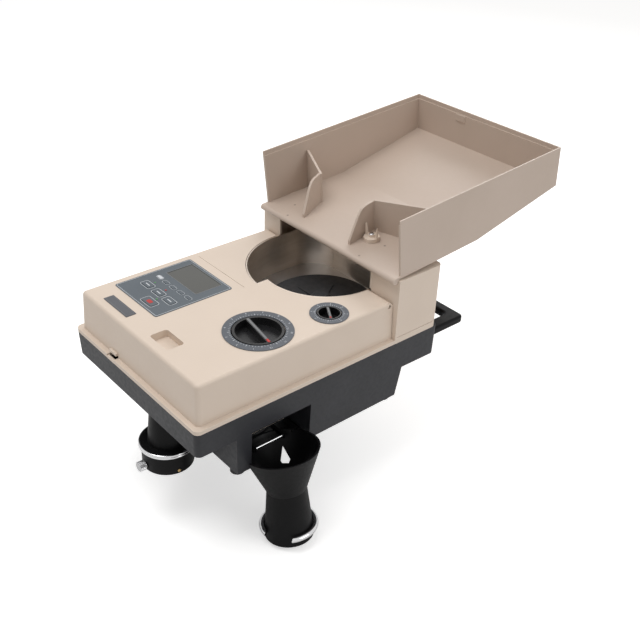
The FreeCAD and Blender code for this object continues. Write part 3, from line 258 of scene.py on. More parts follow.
def span(tree, factor, low, high, start, end):
    """A straight-line change of scale: start and end of the input become low and high."""
    ramp = tree.nodes.new("ShaderNodeMapRange")
    ramp.inputs["From Min"].default_value = start
    ramp.inputs["From Max"].default_value = end
    ramp.inputs["To Min"].default_value = low
    ramp.inputs["To Max"].default_value = high
    tree.links.new(factor, ramp.inputs["Value"])
    return ramp.outputs["Result"]


def noise(tree, coordinates, size_mm, detail, stretch):
    """Noise whose lumps are about size_mm across, drawn out along an axis where stretch is small."""
    mapping = tree.nodes.new("ShaderNodeMapping")
    mapping.inputs["Scale"].default_value = stretch
    tree.links.new(coordinates, mapping.inputs["Vector"])
    texture = tree.nodes.new("ShaderNodeTexNoise")
    texture.inputs["Scale"].default_value = 1 / (size_mm * MM)
    texture.inputs["Detail"].default_value = detail
    tree.links.new(mapping.outputs[0], texture.inputs["Vector"])
    return texture.outputs["Fac"]


print("shader helpers ready")

# %% [markdown]
# Handling rubs the edges of a case paler than its flats. Painting that by hand would have to be done
# again after each change of shape. A Bevel node finds the edges by itself: it rounds the normal near
# them, and the lean between the rounded normal and the true one is the mask.

# %% Edge wear
WEAR_MM = 1.0
BEVEL_SAMPLES = 4
EDGE_COSINE = 0.72
FLAT_COSINE = 0.98


def edge_mask(tree):
    """One on a sharp edge and nought on a flat, by the cosine between a rounded normal and the true one."""
    bevel = tree.nodes.new("ShaderNodeBevel")
    bevel.samples = BEVEL_SAMPLES
    bevel.inputs["Radius"].default_value = WEAR_MM * MM
    true_normal = tree.nodes.new("ShaderNodeNewGeometry")
    dot = tree.nodes.new("ShaderNodeVectorMath")
    dot.operation = "DOT_PRODUCT"
    tree.links.new(bevel.outputs[0], dot.inputs[0])
    tree.links.new(true_normal.outputs["Normal"], dot.inputs[1])
    return span(tree, dot.outputs["Value"], 1.0, 0.0, EDGE_COSINE, FLAT_COSINE)


print("edges worn below a cosine of", FLAT_COSINE)

# %% [markdown]
# One recipe serves every finish. A slow noise shifts the colour a little, a middle noise changes the
# roughness, a fine noise gives the grain as bump, and the edge mask lightens the edges where a wear colour
# is given. One function keeps the finishes alike in kind, and each only states its own numbers.

# %% Finish recipe
NOISE_LOW, NOISE_HIGH = 0.3, 0.7
PATCH_DETAIL = 4.0
GRAIN_DETAIL = 2.0
RUB_GRAINS = 9
ROUGHNESS_SWING = 0.14
BUMP_SHARE = 0.25
EVEN = (1, 1, 1)
finishes = {}


def finish(name, colour, shade, roughness, grain_mm, grain, metal=0.0, wear=None, patch_mm=60.0,
           stretch=EVEN, coat=0.0, specular=0.5):
    """Colour to shade by a slow noise, wear on edges, roughness by a middle noise, bump by a fine one."""
    material = bpy.data.materials.new(name)
    material.use_nodes = True
    tree = material.node_tree
    shader = tree.nodes["Principled BSDF"]
    place = tree.nodes.new("ShaderNodeTexCoord").outputs["Object"]
    patches = noise(tree, place, patch_mm, PATCH_DETAIL, stretch)
    tone = blend_colours(tree, span(tree, patches, 0.0, 1.0, NOISE_LOW, NOISE_HIGH), colour, shade)
    if wear:
        tone = blend_colours(tree, edge_mask(tree), tone, wear)
    tree.links.new(tone, shader.inputs["Base Color"])
    rub = noise(tree, place, grain_mm * RUB_GRAINS, GRAIN_DETAIL, stretch)
    smoothest = roughness * (1 - ROUGHNESS_SWING)
    roughest = min(1.0, roughness * (1 + ROUGHNESS_SWING))
    tree.links.new(span(tree, rub, smoothest, roughest, NOISE_LOW, NOISE_HIGH), shader.inputs["Roughness"])
    bump = tree.nodes.new("ShaderNodeBump")
    bump.inputs["Strength"].default_value = grain
    bump.inputs["Distance"].default_value = grain_mm * BUMP_SHARE * MM
    tree.links.new(noise(tree, place, grain_mm, GRAIN_DETAIL, stretch), bump.inputs["Height"])
    tree.links.new(bump.outputs[0], shader.inputs["Normal"])
    shader.inputs["Metallic"].default_value = metal
    shader.inputs["Specular IOR Level"].default_value = specular
    shader.inputs["Coat Weight"].default_value = coat
    return material


def add_finishes(looks):
    """Makes a finish from each look and keeps it under the look's name."""
    finishes.update({name: finish(name, **look) for name, look in looks.items()})
    print("finishes", list(looks))


print("recipe ready")

# %% [markdown]
# The case is beige moulded plastic with a fine grain, and its tray is a browner one. Base, outlets and
# knobs are three different blacks. A dark plastic shows its sheen more than its colour, so a darker colour
# alone would change little, and the base and the outlets get less specular light as well.

# %% Plastics
add_finishes({
    "beige_plastic": dict(colour=(0.7, 0.59, 0.495), shade=(0.68, 0.57, 0.475), roughness=0.46,
                          grain_mm=0.5, grain=0.09, wear=(0.78, 0.69, 0.6)),
    "tray_plastic": dict(colour=(0.54, 0.44, 0.37), shade=(0.51, 0.415, 0.345), roughness=0.42,
                         grain_mm=0.7, grain=0.1, wear=(0.64, 0.54, 0.46), patch_mm=80.0),
    "black_plastic": dict(colour=(0.004, 0.004, 0.0045), shade=(0.006, 0.006, 0.0065), roughness=0.4,
                          grain_mm=0.45, grain=0.12, wear=(0.02, 0.02, 0.022), specular=0.14),
    "base_plastic": dict(colour=(0.02, 0.021, 0.025), shade=(0.027, 0.028, 0.033), roughness=0.45,
                         grain_mm=0.5, grain=0.14, wear=(0.05, 0.05, 0.058), specular=0.35),
    "knob_black": dict(colour=(0.008, 0.008, 0.009), shade=(0.012, 0.012, 0.013), roughness=0.3,
                       grain_mm=0.4, grain=0.06, wear=(0.03, 0.03, 0.03)),
    "dial_grey": dict(colour=(0.09, 0.1, 0.117), shade=(0.08, 0.09, 0.107), roughness=0.45,
                      grain_mm=0.3, grain=0.06),
    "panel_grey": dict(colour=(0.096, 0.115, 0.134), shade=(0.085, 0.103, 0.12), roughness=0.4,
                       grain_mm=0.35, grain=0.07),
    "window_dark": dict(colour=(0.055, 0.055, 0.045), shade=(0.047, 0.047, 0.04), roughness=0.12,
                        grain_mm=0.4, grain=0.01, coat=0.6),
})

# %% [markdown]
# Inside are sheet steel, castings, rubber and circuit boards, seen in part with the cover lifted. The bowl
# is brushed stainless steel. Its colour is paler and warmer than steel's own grey: the warmth is a painted
# reflection of the warm surroundings. Real brush lines are too fine to model, so its noise is drawn out
# round the bowl by squeezing it along Z only.

# %% Metals, rubber and boards
add_finishes({
    "circuit_green": dict(colour=(0.02, 0.1, 0.04), shade=(0.017, 0.085, 0.035), roughness=0.35,
                          grain_mm=1.5, grain=0.1),
    # The steel's pale warm colour is partly its own grey and partly a painted warm reflection.
    "stainless": dict(colour=(0.9, 0.8, 0.7), shade=(0.8, 0.7, 0.6), roughness=0.36,
                      grain_mm=0.5, grain=0.1, metal=1.0, stretch=(1, 1, 9)),
    "plated_steel": dict(colour=(0.55, 0.54, 0.5), shade=(0.47, 0.46, 0.43), roughness=0.34,
                         grain_mm=0.8, grain=0.06, metal=1.0),
    "chrome": dict(colour=(0.83, 0.83, 0.84), shade=(0.78, 0.78, 0.79), roughness=0.09,
                   grain_mm=0.8, grain=0.02, metal=1.0),
    "cast_alloy": dict(colour=(0.5, 0.5, 0.51), shade=(0.43, 0.43, 0.44), roughness=0.42,
                       grain_mm=0.9, grain=0.25, metal=1.0),
    "disc_rubber": dict(colour=(0.03, 0.03, 0.032), shade=(0.042, 0.042, 0.045), roughness=0.7,
                        grain_mm=0.8, grain=0.25),
    "belt_rubber": dict(colour=(0.014, 0.014, 0.015), shade=(0.022, 0.022, 0.023), roughness=0.72,
                        grain_mm=0.7, grain=0.3),
    "bright_steel": dict(colour=(0.6, 0.6, 0.61), shade=(0.54, 0.54, 0.55), roughness=0.22,
                         grain_mm=0.5, grain=0.04, metal=1.0),
    "motor_steel": dict(colour=(0.1, 0.105, 0.11), shade=(0.13, 0.135, 0.14), roughness=0.45,
                        grain_mm=0.6, grain=0.1),
    "sensor_black": dict(colour=(0.012, 0.012, 0.014), shade=(0.02, 0.02, 0.022), roughness=0.5,
                         grain_mm=0.5, grain=0.1),
})

# %% [markdown]
# The last finishes are for the small pieces of this script: print, pointers, lamps, one brass screw and
# the painted shade in the tray's dimples. Ink is a thin skin, so it has next to no grain.

# %% Print and small trim
add_finishes({
    "print_pale": dict(colour=(0.66, 0.68, 0.71), shade=(0.6, 0.62, 0.65), roughness=0.5,
                       grain_mm=0.3, grain=0.03),
    "bar_grey": dict(colour=(0.15, 0.155, 0.16), shade=(0.2, 0.205, 0.21), roughness=0.4,
                     grain_mm=0.3, grain=0.05),
    "tip_red": dict(colour=(0.5, 0.03, 0.025), shade=(0.42, 0.025, 0.02), roughness=0.4,
                    grain_mm=0.3, grain=0.05),
    "brass": dict(colour=(0.6, 0.42, 0.2), shade=(0.5, 0.35, 0.16), roughness=0.3,
                  grain_mm=0.4, grain=0.05, metal=1.0),
    "lamp_green": dict(colour=(0.12, 0.35, 0.12), shade=(0.1, 0.3, 0.1), roughness=0.2,
                       grain_mm=0.4, grain=0.02),
    # Painted shade for the tray's dimples: a darker tray colour.
    "painted_dimple_shade": dict(colour=(0.3, 0.24, 0.2), shade=(0.27, 0.215, 0.18), roughness=0.5,
                       grain_mm=0.6, grain=0.1),
    "plate_dark": dict(colour=(0.085, 0.088, 0.1), shade=(0.1, 0.103, 0.116), roughness=0.35,
                       grain_mm=0.3, grain=0.04),
})

# %% [markdown]
# The record names one finish for each solid, so a loop can dress them all. Four solids get another one:
# the tray and its guides are browner than the case, the base is a little paler than the outlets, and the
# start key is of the panel's own film, with only its mark in red.

# %% Finishes on the solids
OWN_FINISH = {"hopper_tray": "tray_plastic", "coin_guides": "tray_plastic", "base_pan": "base_plastic",
              "start_key": "panel_grey"}
for part in frame["record"]["subparts"]:
    node = frame["nodes"][part["node"]]
    chosen = finishes[OWN_FINISH.get(part["node"], part["material_slot"])]
    if not node.data.materials:
        node.data.materials.append(chosen)
    for number in range(len(node.data.materials)):
        node.data.materials[number] = chosen

# %% [markdown]
# The small pieces that follow lie on the solids. Their places could all be typed, but then they would be
# left behind when a solid moves. So what a solid can give, such as a key's place or the height of a top, is
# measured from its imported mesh, in millimetres. Rounding to a thousandth takes away the noise of short
# floating-point numbers. Only what no solid shows is typed.

# %% Measuring the solids
DECIMALS = 3


def node_box(name):
    """A solid's lowest and highest corners at rest."""
    return np.array(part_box(name)) / MM


def middle_of(name):
    """Half of the lowest corner plus half of the highest one."""
    return np.round(node_box(name).mean(axis=0), DECIMALS)


def plan_size(name):
    """Width and depth: the highest corner less the lowest one, seen from above."""
    return np.round(np.ptp(node_box(name), axis=0)[:2], DECIMALS)


def top_of(name):
    """The height of a solid's highest point."""
    return round(node_box(name)[1][2], DECIMALS)


COVER_TOP = top_of("top_cover")
PANEL_TOP = top_of("control_panel")
RING_TOP = top_of("diameter_ring")
KNOB_TOP = top_of("diameter_knob")
KEY_TOP = top_of("start_key")
print("tops", COVER_TOP, PANEL_TOP, RING_TOP, KNOB_TOP, KEY_TOP)

# %% [markdown]
# Plates, lamps and screw heads are closed surfaces. Cubes and cylinders pushed into shape with modifiers
# would do, but one rule covers them all: equal rings of points, joined in order and closed by one face at
# either end. Whole arrays make the faces, so no loop goes over single points.

# %% Closed shells
def skin_levels(levels):
    """Points and faces of a shell: quads join each ring to the next, and a cap closes either end."""
    levels = np.asarray(levels, float)
    count, around = levels.shape[:2]
    index = np.arange(count * around).reshape(count, around)
    following = np.roll(index, -1, axis=1)
    quads = np.stack([index[:-1], following[:-1], following[1:], index[1:]], axis=-1).reshape(-1, 4)
    faces = quads.tolist() + [index[0][::-1].tolist(), index[-1].tolist()]
    return levels.reshape(-1, 3), faces


def dress(made, body, finish_name, smooth=False):
    """Gives a piece its finish and lets it ride on a body of the machine."""
    made.data.materials.append(finishes[finish_name])
    if smooth:
        made.data.shade_smooth()
    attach(made, body)


def make_piece(name, points, faces, body, finish_name, smooth=False):
    """A piece from points in millimetres."""
    made = new_mesh_object(name, np.asarray(points, float) * MM, faces)
    dress(made, body, finish_name, smooth)


print("shell helpers ready")

# %% [markdown]
# Printed frames, film keys and the name plate are thin and flat, with round corners. A box with a Bevel
# modifier would be close, but its corners and its top edge would share one radius. So the outline is worked
# out first. A plate carries it up through three levels, and a frame carries a thin section round it.

# %% Plates and frames
CORNER_SIDES = ((1, 1), (-1, 1), (-1, -1), (1, -1))
CORNER_STEPS = 6
LEAST_CORNER = 0.05
PLATE_EDGE = 0.25


def round_outline(size, corner):
    """A rectangle with round corners, anticlockwise: a quarter circle about each corner's centre in turn."""
    quarter = np.linspace(0, math.pi / 2, CORNER_STEPS)
    turns = (np.arange(len(CORNER_SIDES))[:, None] * math.pi / 2 + quarter).ravel()
    sides = np.repeat(CORNER_SIDES, CORNER_STEPS, axis=0)
    centres = sides * (np.asarray(size, float) / 2 - corner)
    return centres + corner * np.stack([np.cos(turns), np.sin(turns)], axis=-1)


def at_height(loop, z):
    """A flat loop of X and Y, with the same Z at every point."""
    return np.column_stack([loop, np.full(len(loop), z)])


def plate_levels(centre, size, corner, low, high, edge=PLATE_EDGE):
    """The outline at the foot, again just under the top, and drawn in by the edge at the top."""
    rows = []
    for inset, z in ((0, low), (0, high - edge), (edge, high)):
        loop = round_outline(np.subtract(size, 2 * inset), max(corner - inset, LEAST_CORNER)) + centre
        rows.append(at_height(loop, z))
    return rows


def plate(name, centre, size, corner, low, high, body, finish_name, edge=PLATE_EDGE):
    """A flat plate with round corners and a small slope round its top."""
    points, faces = skin_levels(plate_levels(centre, size, corner, low, high, edge))
    make_piece(name, points, faces, body, finish_name)


def printed_frame(name, centre, size, corner, line, low, high, finish_name):
    """A thin closed frame: the section low-in, low-out, high-out, high-in carried round the outline."""
    inner = round_outline(size, corner) + centre
    outer = round_outline(np.add(size, 2 * line), corner + line) + centre
    section = ((inner, low), (outer, low), (outer, high), (inner, high))
    rings = np.array([at_height(loop, z) for loop, z in section])
    count, around = rings.shape[:2]
    index = np.arange(count * around).reshape(count, around)
    below = np.roll(index, -1, axis=0)
    quads = np.stack([index, np.roll(index, -1, axis=1), np.roll(below, -1, axis=1), below], axis=-1)
    faces = quads.reshape(-1, 4)[:, ::-1].tolist()
    make_piece(name, rings.reshape(-1, 3), faces, "cover", finish_name)


print("plate helpers ready")

# %% [markdown]
# Lamps, dimples and screw heads are round. A Screw modifier turns a profile as well, but its result has to
# be applied and closed. Three array formulas do the work here: one turns a profile, one spins a piece in
# plan, and one aims it sideways.

# %% Turned shapes
DOME_SHARES = np.array([(1.0, 0.0), (1.0, 0.5), (0.85, 0.85), (0.4, 1.0)])
DOME_AROUND = 24


def turned(profile, around):
    """A profile turned about Z: radius times cosine, radius times sine, and height, ring by ring."""
    angle = np.linspace(0, 2 * math.pi, around, endpoint=False)
    profile = np.asarray(profile, float)
    rings = np.empty((len(profile), around, 3))
    rings[..., 0] = profile[:, :1] * np.cos(angle)
    rings[..., 1] = profile[:, :1] * np.sin(angle)
    rings[..., 2] = profile[:, 1:]
    return rings


def spun(points, place, turn):
    """Points about the origin, turned in plan by an angle and then moved to a place."""
    cosine, sine = math.cos(turn), math.sin(turn)
    spin = np.array([(cosine, sine, 0), (-sine, cosine, 0), (0, 0, 1)])
    return np.asarray(points, float) @ spin + place


def aimed(points, place, direction):
    """Points made about Z, turned so that Z looks along a level direction, and then moved to a place."""
    ahead = unit(direction)
    side = unit(np.cross(WORLD_UP, ahead))
    basis = np.stack([side, np.cross(ahead, side), ahead])
    return np.asarray(points, float) @ basis + place


def domed_head(radius, rise):
    """A low screw head as rings from seat to crown, each a share of the radius and of the rise."""
    return turned(DOME_SHARES * (radius, rise), DOME_AROUND)


print("turning helpers ready")

# %% [markdown]
# The name plate on the cover is a small dark plate that stays bare. Its thin grey frame could be a line in
# the material, but a frame of its own catches the light and stays sharp at any distance.

# %% Name plate
SINK = 0.05
PLATE_CENTRE = (-63.7, -153.0)
PLATE_SIZE = (52.0, 13.4)
PLATE_CORNER = 0.8
PLATE_RISE = 0.7
PLATE_TOP = COVER_TOP + PLATE_RISE
PLATE_MARGIN = 2.0
PLATE_LINE = 0.35
PLATE_LINE_CORNER = 0.6
PLATE_LINE_SINK = 0.02
PLATE_LINE_RISE = 0.08
plate("name_plate", PLATE_CENTRE, PLATE_SIZE, PLATE_CORNER, COVER_TOP - SINK, PLATE_TOP,
      "cover", "plate_dark")
printed_frame("name_plate_frame", PLATE_CENTRE, np.subtract(PLATE_SIZE, 2 * PLATE_MARGIN),
              PLATE_LINE_CORNER, PLATE_LINE, PLATE_TOP - PLATE_LINE_SINK, PLATE_TOP + PLATE_LINE_RISE,
              "bar_grey")
print("name plate", PLATE_SIZE)

# %% [markdown]
# The control panel is a printed film. Its four big keys are solids already, and on the real film a pale
# line runs round each. The line follows the key's face, which is the solid's size less the flange that
# holds the key in under the panel.

# %% Frames round the big keys
BIG_KEYS = ("count_key", "batch_key", "clear_key", "start_key")
KEY_FLANGE = 1.2
KEY_GAP = 1.1
KEY_LINE = 0.5
KEY_LINE_CORNER = 2.6
KEY_LINE_RISE = 0.12


def key_face(key):
    """Width and depth of the face that shows: the key's size less its flange on either side."""
    return plan_size(key) - 2 * KEY_FLANGE


for number, key in enumerate(BIG_KEYS):
    printed_frame(f"key_frame_{number}", middle_of(key)[:2], key_face(key) + 2 * KEY_GAP,
                  KEY_LINE_CORNER, KEY_LINE, PANEL_TOP - SINK, PANEL_TOP + KEY_LINE_RISE, "print_pale")
print("big keys", BIG_KEYS)

# %% [markdown]
# A row of five small keys and three signal lamps are pressed up in the film. Bump in a material would look
# flat from the side, so the keys are low plates with a wide sloping edge, the first of them pale, and the
# lamps are small turned domes.

# %% Small keys and lamps
SMALL_KEYS = ((-92.4, -80.6), (-77.4, -81.6), (-62.2, -81.6), (-46.8, -80.9), (-31.4, -80.4))
SMALL_KEY_SIZE = (9.6, 4.4)
SMALL_KEY_CORNER = 1.6
SMALL_KEY_RISE = 0.7
SMALL_KEY_EDGE = 0.45
SMALL_KEY_GAP = 0.6
SMALL_LINE = 0.3
SMALL_LINE_CORNER = 2.1
FILM_LINE_RISE = 0.1
PRESSED_SINK = 0.1
SIGNAL_LAMPS = ((-85.1, -92.5, "lamp_green"), (-62.1, -91.8, "tip_red"), (-51.0, -111.2, "lamp_green"))
LAMP_PROFILE = ((1.25, 0.0), (1.25, 0.3), (1.0, 0.65), (0.5, 0.85))
LAMP_AROUND = 20
for number, centre in enumerate(SMALL_KEYS):
    tone = "panel_grey" if number else "print_pale"
    plate(f"small_key_{number}", centre, SMALL_KEY_SIZE, SMALL_KEY_CORNER, PANEL_TOP - PRESSED_SINK,
          PANEL_TOP + SMALL_KEY_RISE, "cover", tone, SMALL_KEY_EDGE)
    printed_frame(f"small_key_frame_{number}", centre, np.add(SMALL_KEY_SIZE, 2 * SMALL_KEY_GAP),
                  SMALL_LINE_CORNER, SMALL_LINE, PANEL_TOP - SINK, PANEL_TOP + FILM_LINE_RISE, "print_pale")
for number, (x, y, tone) in enumerate(SIGNAL_LAMPS):
    points, faces = skin_levels(turned(LAMP_PROFILE, LAMP_AROUND) + (x, y, PANEL_TOP - PRESSED_SINK))
    make_piece(f"signal_lamp_{number}", points, faces, "cover", tone, smooth=True)
print("small keys", len(SMALL_KEYS), "lamps", len(SIGNAL_LAMPS))

# %% [markdown]
# Each big key carries a printed mark: a short pale bar on three of them, and a red patch on the start key.
# A second material on the key would need faces of the mark's shape, which the solid doesn't have. So each
# mark is a very thin plate that rides on its key and goes down with it.

# %% Marks on the big keys
MARK_SHARE = 0.5
MARK_DEPTH = 1.3
MARK_CORNER = 0.4
MARK_RISE = 0.1
MARK_EDGE = 0.05
START_SHARES = (0.42, 0.52)
START_CORNER = 1.8
START_RISE = 0.15
START_EDGE = 0.1
*plain_keys, start_key = BIG_KEYS
for key in plain_keys:
    plate(f"{key}_mark", middle_of(key)[:2], (MARK_SHARE * key_face(key)[0], MARK_DEPTH), MARK_CORNER,
          KEY_TOP - SINK, KEY_TOP + MARK_RISE, key, "print_pale", MARK_EDGE)
plate(f"{start_key}_mark", middle_of(start_key)[:2], START_SHARES * key_face(start_key), START_CORNER,
      KEY_TOP - SINK, KEY_TOP + START_RISE, start_key, "tip_red", START_EDGE)
print("key marks", len(BIG_KEYS))

# %% [markdown]
# A grey line borders the display window, and a pale one runs just inside the edge of the whole panel. Both
# are the same kind of printed frame, measured from the solids that they border.

# %% Window and panel frames
WINDOW_CORNER = 0.6
WINDOW_LINE = 0.7
WINDOW_LINE_RISE = 0.15
PANEL_MARGINS = np.array([1.75, 1.9])
PANEL_CORNER = 2.0
PANEL_LINE = 0.45
printed_frame("window_frame", middle_of("display_window")[:2], plan_size("display_window"), WINDOW_CORNER,
              WINDOW_LINE, PANEL_TOP - SINK, PANEL_TOP + WINDOW_LINE_RISE, "bar_grey")
printed_frame("panel_frame", middle_of("control_panel")[:2], plan_size("control_panel") - 2 * PANEL_MARGINS,
              PANEL_CORNER, PANEL_LINE, PANEL_TOP - SINK, PANEL_TOP + FILM_LINE_RISE, "print_pale")
print("window", plan_size("display_window"))

# %% [markdown]
# Both dials have a printed ring of strokes: a short one for each step and a longer one for each fifth. An
# Array modifier about an empty could repeat one stroke, but not change its length. So all strokes of a ring
# are made in one array, each a thin box along a radius.

# %% Dial strokes
DIALS = {"diameter": dict(inner=31.0, outer=40.9, count=60, size=3.5),
         "thickness": dict(inner=15.3, outer=23.2, count=40, size=2.6)}
LONG_EVERY = 5
STROKE_GAP = 0.9
LONG_SHARE, SHORT_SHARE = 0.3, 0.18
LONG_HALF, SHORT_HALF = 0.28, 0.17
STROKE_THICK = 0.15
BOX_FACES = np.array([(3, 2, 1, 0), (4, 5, 6, 7), (0, 1, 5, 4), (1, 2, 6, 5), (2, 3, 7, 6), (3, 0, 4, 7)])
BOX_POINTS = 8


def dial_strokes(centre, inner, outer, count):
    """Every stroke as a box of eight corners: two radii, two sides of the middle line and two heights."""
    angle = np.arange(count) * 2 * math.pi / count
    long_one = np.arange(count) % LONG_EVERY == 0
    start = np.full(count, inner + STROKE_GAP)
    end = start + np.where(long_one, LONG_SHARE, SHORT_SHARE) * (outer - inner)
    half = np.where(long_one, LONG_HALF, SHORT_HALF)
    radius = np.stack([start, end, end, start], axis=1)
    side = np.stack([-half, -half, half, half], axis=1)
    plan_x = centre[0] + radius * np.cos(angle)[:, None] - side * np.sin(angle)[:, None]
    plan_y = centre[1] + radius * np.sin(angle)[:, None] + side * np.cos(angle)[:, None]
    low = np.stack([plan_x, plan_y, np.full_like(plan_x, RING_TOP - SINK)], axis=-1)
    high = low + (0, 0, STROKE_THICK)
    points = np.concatenate([low, high], axis=1).reshape(-1, 3)
    faces = BOX_FACES[None] + BOX_POINTS * np.arange(count)[:, None, None]
    return points, faces.reshape(-1, 4).tolist()


print("strokes", {title: dial["count"] for title, dial in DIALS.items()})

# %% [markdown]
# Plain numbers run round each ring, as many as it has long strokes. Drawn by hand, their curves would be
# long lists of points, so Blender's own font makes them. The text becomes a mesh first, and its place is
# then worked into the mesh, because a finished piece sits unturned at the origin.

# %% Dial numbers
NUMBER_REACH = 0.68
NUMBER_LIFT = 0.05
NUMBER_THICK = 0.05
NUMBER_CURVE_STEPS = 3
FIRST_NUMBER = -math.pi / 4


def text_mesh(name, text, size):
    """Text as a mesh, centred on the origin and given a little thickness."""
    curve = bpy.data.curves.new(name, "FONT")
    curve.body = text
    curve.size = size
    curve.extrude = NUMBER_THICK
    curve.resolution_u = NUMBER_CURVE_STEPS
    curve.align_x = "CENTER"
    curve.align_y = "CENTER"
    holder = bpy.data.objects.new(name + "_text", curve)
    scene.collection.objects.link(holder)
    bpy.context.view_layer.update()
    mesh = bpy.data.meshes.new_from_object(holder)
    bpy.data.objects.remove(holder)
    return mesh


def dial_number(name, text, place, angle, size):
    """A number turned in plan, so that its top points away from the dial's centre at the angle."""
    mesh = text_mesh(name, text, size)
    points = np.empty(3 * len(mesh.vertices))
    mesh.vertices.foreach_get("co", points)
    points = spun(points.reshape(-1, 3), place, angle - math.pi / 2) * MM
    mesh.vertices.foreach_set("co", points.ravel())
    mesh.update()
    made = bpy.data.objects.new(name, mesh)
    scene.collection.objects.link(made)
    dress(made, "cover", "print_pale")


for title, dial in DIALS.items():
    x, y = middle_of(f"{title}_knob")[:2]
    points, faces = dial_strokes((x, y), dial["inner"], dial["outer"], dial["count"])
    make_piece(f"{title}_strokes", points, faces, "cover", "print_pale")
    reach = dial["inner"] + NUMBER_REACH * (dial["outer"] - dial["inner"])
    steps = dial["count"] // LONG_EVERY
    for number in range(steps):
        angle = FIRST_NUMBER - number * 2 * math.pi / steps
        place = (x + reach * math.cos(angle), y + reach * math.sin(angle), RING_TOP + NUMBER_LIFT)
        dial_number(f"{title}_number_{number}", str(number + 1), place, angle, dial["size"])
print("dials", list(DIALS))

# %% [markdown]
# Each knob is a deep cup with a straight grip across it. The grip carries a grey inlay along its top and a
# red tip at the end that points to the scale. They could be painted on, but a raised inlay shows the way
# the knob points from low angles too. Both are plates, spun to the grip's angle, and ride on the knob.

# %% Knob pointers
KNOBS = {"diameter": dict(radius=29.6, degrees=-10, width=3.0),
         "thickness": dict(radius=14.1, degrees=-32, width=2.0)}
GRIP_MARGIN = 2.5
TIP_SHARE = 0.22
TIP_GAP = 0.2
INLAY_CORNER = 0.6
INLAY_EDGE = 0.3
INLAY_SINK = 0.1
INLAY_RISE = 0.5
TIP_RISE = 0.55
for title, knob in KNOBS.items():
    centre = (*middle_of(f"{title}_knob")[:2], 0)
    body = f"{title}_dial"
    turn = math.radians(knob["degrees"])
    length = 2 * (knob["radius"] - GRIP_MARGIN)
    tip = TIP_SHARE * knob["radius"]
    bar, faces = skin_levels(plate_levels((-tip / 2, 0), (length - tip, knob["width"]), INLAY_CORNER,
                                          KNOB_TOP - INLAY_SINK, KNOB_TOP + INLAY_RISE, INLAY_EDGE))
    make_piece(f"{title}_grip_inlay", spun(bar, centre, turn), faces, body, "bar_grey")
    tip_x = (length - tip) / 2 + TIP_GAP
    end, faces = skin_levels(plate_levels((tip_x, 0), (tip, knob["width"]), INLAY_CORNER,
                                          KNOB_TOP - INLAY_SINK, KNOB_TOP + TIP_RISE, INLAY_EDGE))
    make_piece(f"{title}_pointer_tip", spun(end, centre, turn), faces, body, "tip_red")
print("pointers", list(KNOBS))

# %% [markdown]
# The front outlet's collar is held by a thumb screw with a knurled head, and a small brass screw sits low
# on its right side. A knurl could be bump in the material, but it shows in the head's outline. So the
# head's radius rises and falls as a wave along the turn.

# %% Outlet screws
COLLAR_CENTRE = middle_of("spout_ring")[:2]
COLLAR_RADIUS = 31.0
THUMB_TURN = math.radians(268)
THUMB_Z = middle_of("thumb_screw")[2]
THUMB_GAP = 0.7
HEAD_RADIUS, HEAD_LENGTH = 5.5, 8.8
KNURL_RIDGES = 24
RIDGE_STEPS = 6
KNURL_WAVE = 0.28
KNURL_COVER = 0.3
SEAT_SLOPE, CROWN_SLOPE = 0.5, 0.6
BRASS_TURN = math.radians(352)
BRASS_Z = -24.0
BRASS_RADIUS, BRASS_RISE = 2.1, 1.3
BRASS_SINK = 0.15


def knurled_sleeve():
    """Rings along the head: its radius plus a wave, and at either end drawn in and without the wave."""
    angle = np.linspace(0, 2 * math.pi, KNURL_RIDGES * RIDGE_STEPS, endpoint=False)
    wave = KNURL_WAVE * np.cos(KNURL_RIDGES * angle)
    rings = []
    for height, gain, drop in ((0, 0, SEAT_SLOPE), (SEAT_SLOPE, 1, 0),
                               (HEAD_LENGTH - CROWN_SLOPE, 1, 0), (HEAD_LENGTH, 0, CROWN_SLOPE)):
        size = HEAD_RADIUS + KNURL_COVER + gain * wave - drop
        rings.append(at_height(np.stack([size * np.cos(angle), size * np.sin(angle)], axis=-1), height))
    return rings


def on_collar(rings, turn, radius, z, name, body, finish_name, smooth=False):
    """A piece made from rings, set at a turn and a distance from the collar's axis, looking away from it."""
    points, faces = skin_levels(rings)
    away = np.array([math.cos(turn), math.sin(turn)])
    place = (*(COLLAR_CENTRE + radius * away), z)
    make_piece(name, aimed(points, place, (*away, 0)), faces, body, finish_name, smooth)


on_collar(knurled_sleeve(), THUMB_TURN, COLLAR_RADIUS + THUMB_GAP, THUMB_Z,
          "thumb_knurl", "thumb_screw", "bright_steel")
on_collar(domed_head(BRASS_RADIUS, BRASS_RISE), BRASS_TURN, COLLAR_RADIUS - BRASS_SINK, BRASS_Z,
          "collar_screw", "machine", "brass", smooth=True)
print("collar at", COLLAR_CENTRE)

# %% [markdown]
# The tray has a few small moulded details: dimples on the floor beside its lip, drawn as low round discs
# whose darker colour is painted shade, a flat clip inside the back wall under the rim, and a bright screw
# head in the middle of the wing screw. Worked out in place, each would need the tray's slope in its formula.
# So they are laid out as if the tray were level, and one function then tips them with it.

# %% Tray details
TRAY_TILT = math.radians(4.45)
TRAY_PLACE = (0.0, 111.0, 178.2)
TRAY_FLOOR = 3.0
DIMPLES = ((-95.0, 21.0), (-79.0, -4.0), (59.3, -4.0), (63.3, 35.0))
DIMPLE_PROFILE = ((1.5, -0.1), (1.5, 0.05), (1.1, 0.14))
DIMPLE_AROUND = 18
CLIP_MIDDLE = (-42.0, 65.75)
CLIP_SIZE = (17.0, 9.5)
CLIP_CORNER = 1.2
CLIP_REACH = 280.0
CLIP_LEVELS = ((-0.05, 1.0), (0.9, 1.0), (1.2, 0.94))
WING_PLACE = (41.6, 33.0, 11.2)
WING_HEAD_RADIUS, WING_HEAD_RISE = 3.4, 1.6


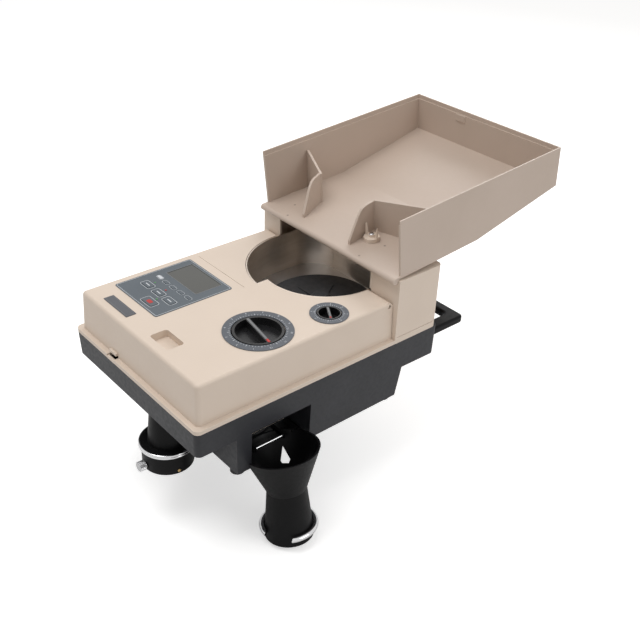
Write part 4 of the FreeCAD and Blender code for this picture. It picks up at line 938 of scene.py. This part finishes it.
def on_tray(points):
    """Points turned about the X axis by the tray's tilt and then moved to the tray's place."""
    cosine, sine = math.cos(TRAY_TILT), math.sin(TRAY_TILT)
    tip = np.array([(1, 0, 0), (0, cosine, sine), (0, -sine, cosine)])
    return np.asarray(points, float) @ tip + TRAY_PLACE


def clip_levels():
    """The clip's outline in X and Z, stepped forward from the wall and drawn in at the last step."""
    rows = []
    for depth, share in CLIP_LEVELS:
        loop = share * round_outline(CLIP_SIZE, CLIP_CORNER) + CLIP_MIDDLE
        rows.append(at_height(loop, CLIP_REACH - depth)[:, [0, 2, 1]])
    return rows


# Each dimple is a low disc in a darker tray colour: painted shade for its hollow.
for number, (x, y) in enumerate(DIMPLES):
    points, faces = skin_levels(turned(DIMPLE_PROFILE, DIMPLE_AROUND) + (x, y, TRAY_FLOOR))
    make_piece(f"tray_dimple_{number}", on_tray(points), faces, "machine", "painted_dimple_shade")
points, faces = skin_levels(clip_levels())
make_piece("tray_clip", on_tray(points), faces, "machine", "tray_plastic")
points, faces = skin_levels(domed_head(WING_HEAD_RADIUS, WING_HEAD_RISE) + WING_PLACE)
make_piece("wing_screw_head", on_tray(points), faces, "wing_screw", "bright_steel",
           smooth=True)
print("tray dimples", len(DIMPLES))

# %% [markdown]
# Over the slot of the catch the cover has a short moulded nose, and below the slot the edge of the cover
# runs on as a thin lip. Cutting and filling the cover's own mesh would be hard to follow, so two plates
# with round corners are laid on it. Both ride on the cover and lift with it.

# %% Catch nose and lip
CATCH_X = middle_of("cover_catch")[0]
NOSE_Y = -174.9
NOSE_SIZE = (15.0, 3.4)
NOSE_CORNER = 0.8
NOSE_EDGE = 0.6
NOSE_LOW, NOSE_HIGH = 97.4, 100.8
LIP_Y = -178.0
LIP_SIZE = (16.4, 3.9)
LIP_CORNER = 0.3
LIP_EDGE = 0.9
LIP_LOW, LIP_HIGH = 89.1, 92.6
plate("catch_nose", (CATCH_X, NOSE_Y), NOSE_SIZE, NOSE_CORNER, NOSE_LOW, NOSE_HIGH,
      "cover", "beige_plastic", NOSE_EDGE)
plate("catch_lip", (CATCH_X, LIP_Y), LIP_SIZE, LIP_CORNER, LIP_LOW, LIP_HIGH,
      "cover", "beige_plastic", LIP_EDGE)
print("catch nose", NOSE_SIZE, "lip", LIP_SIZE)
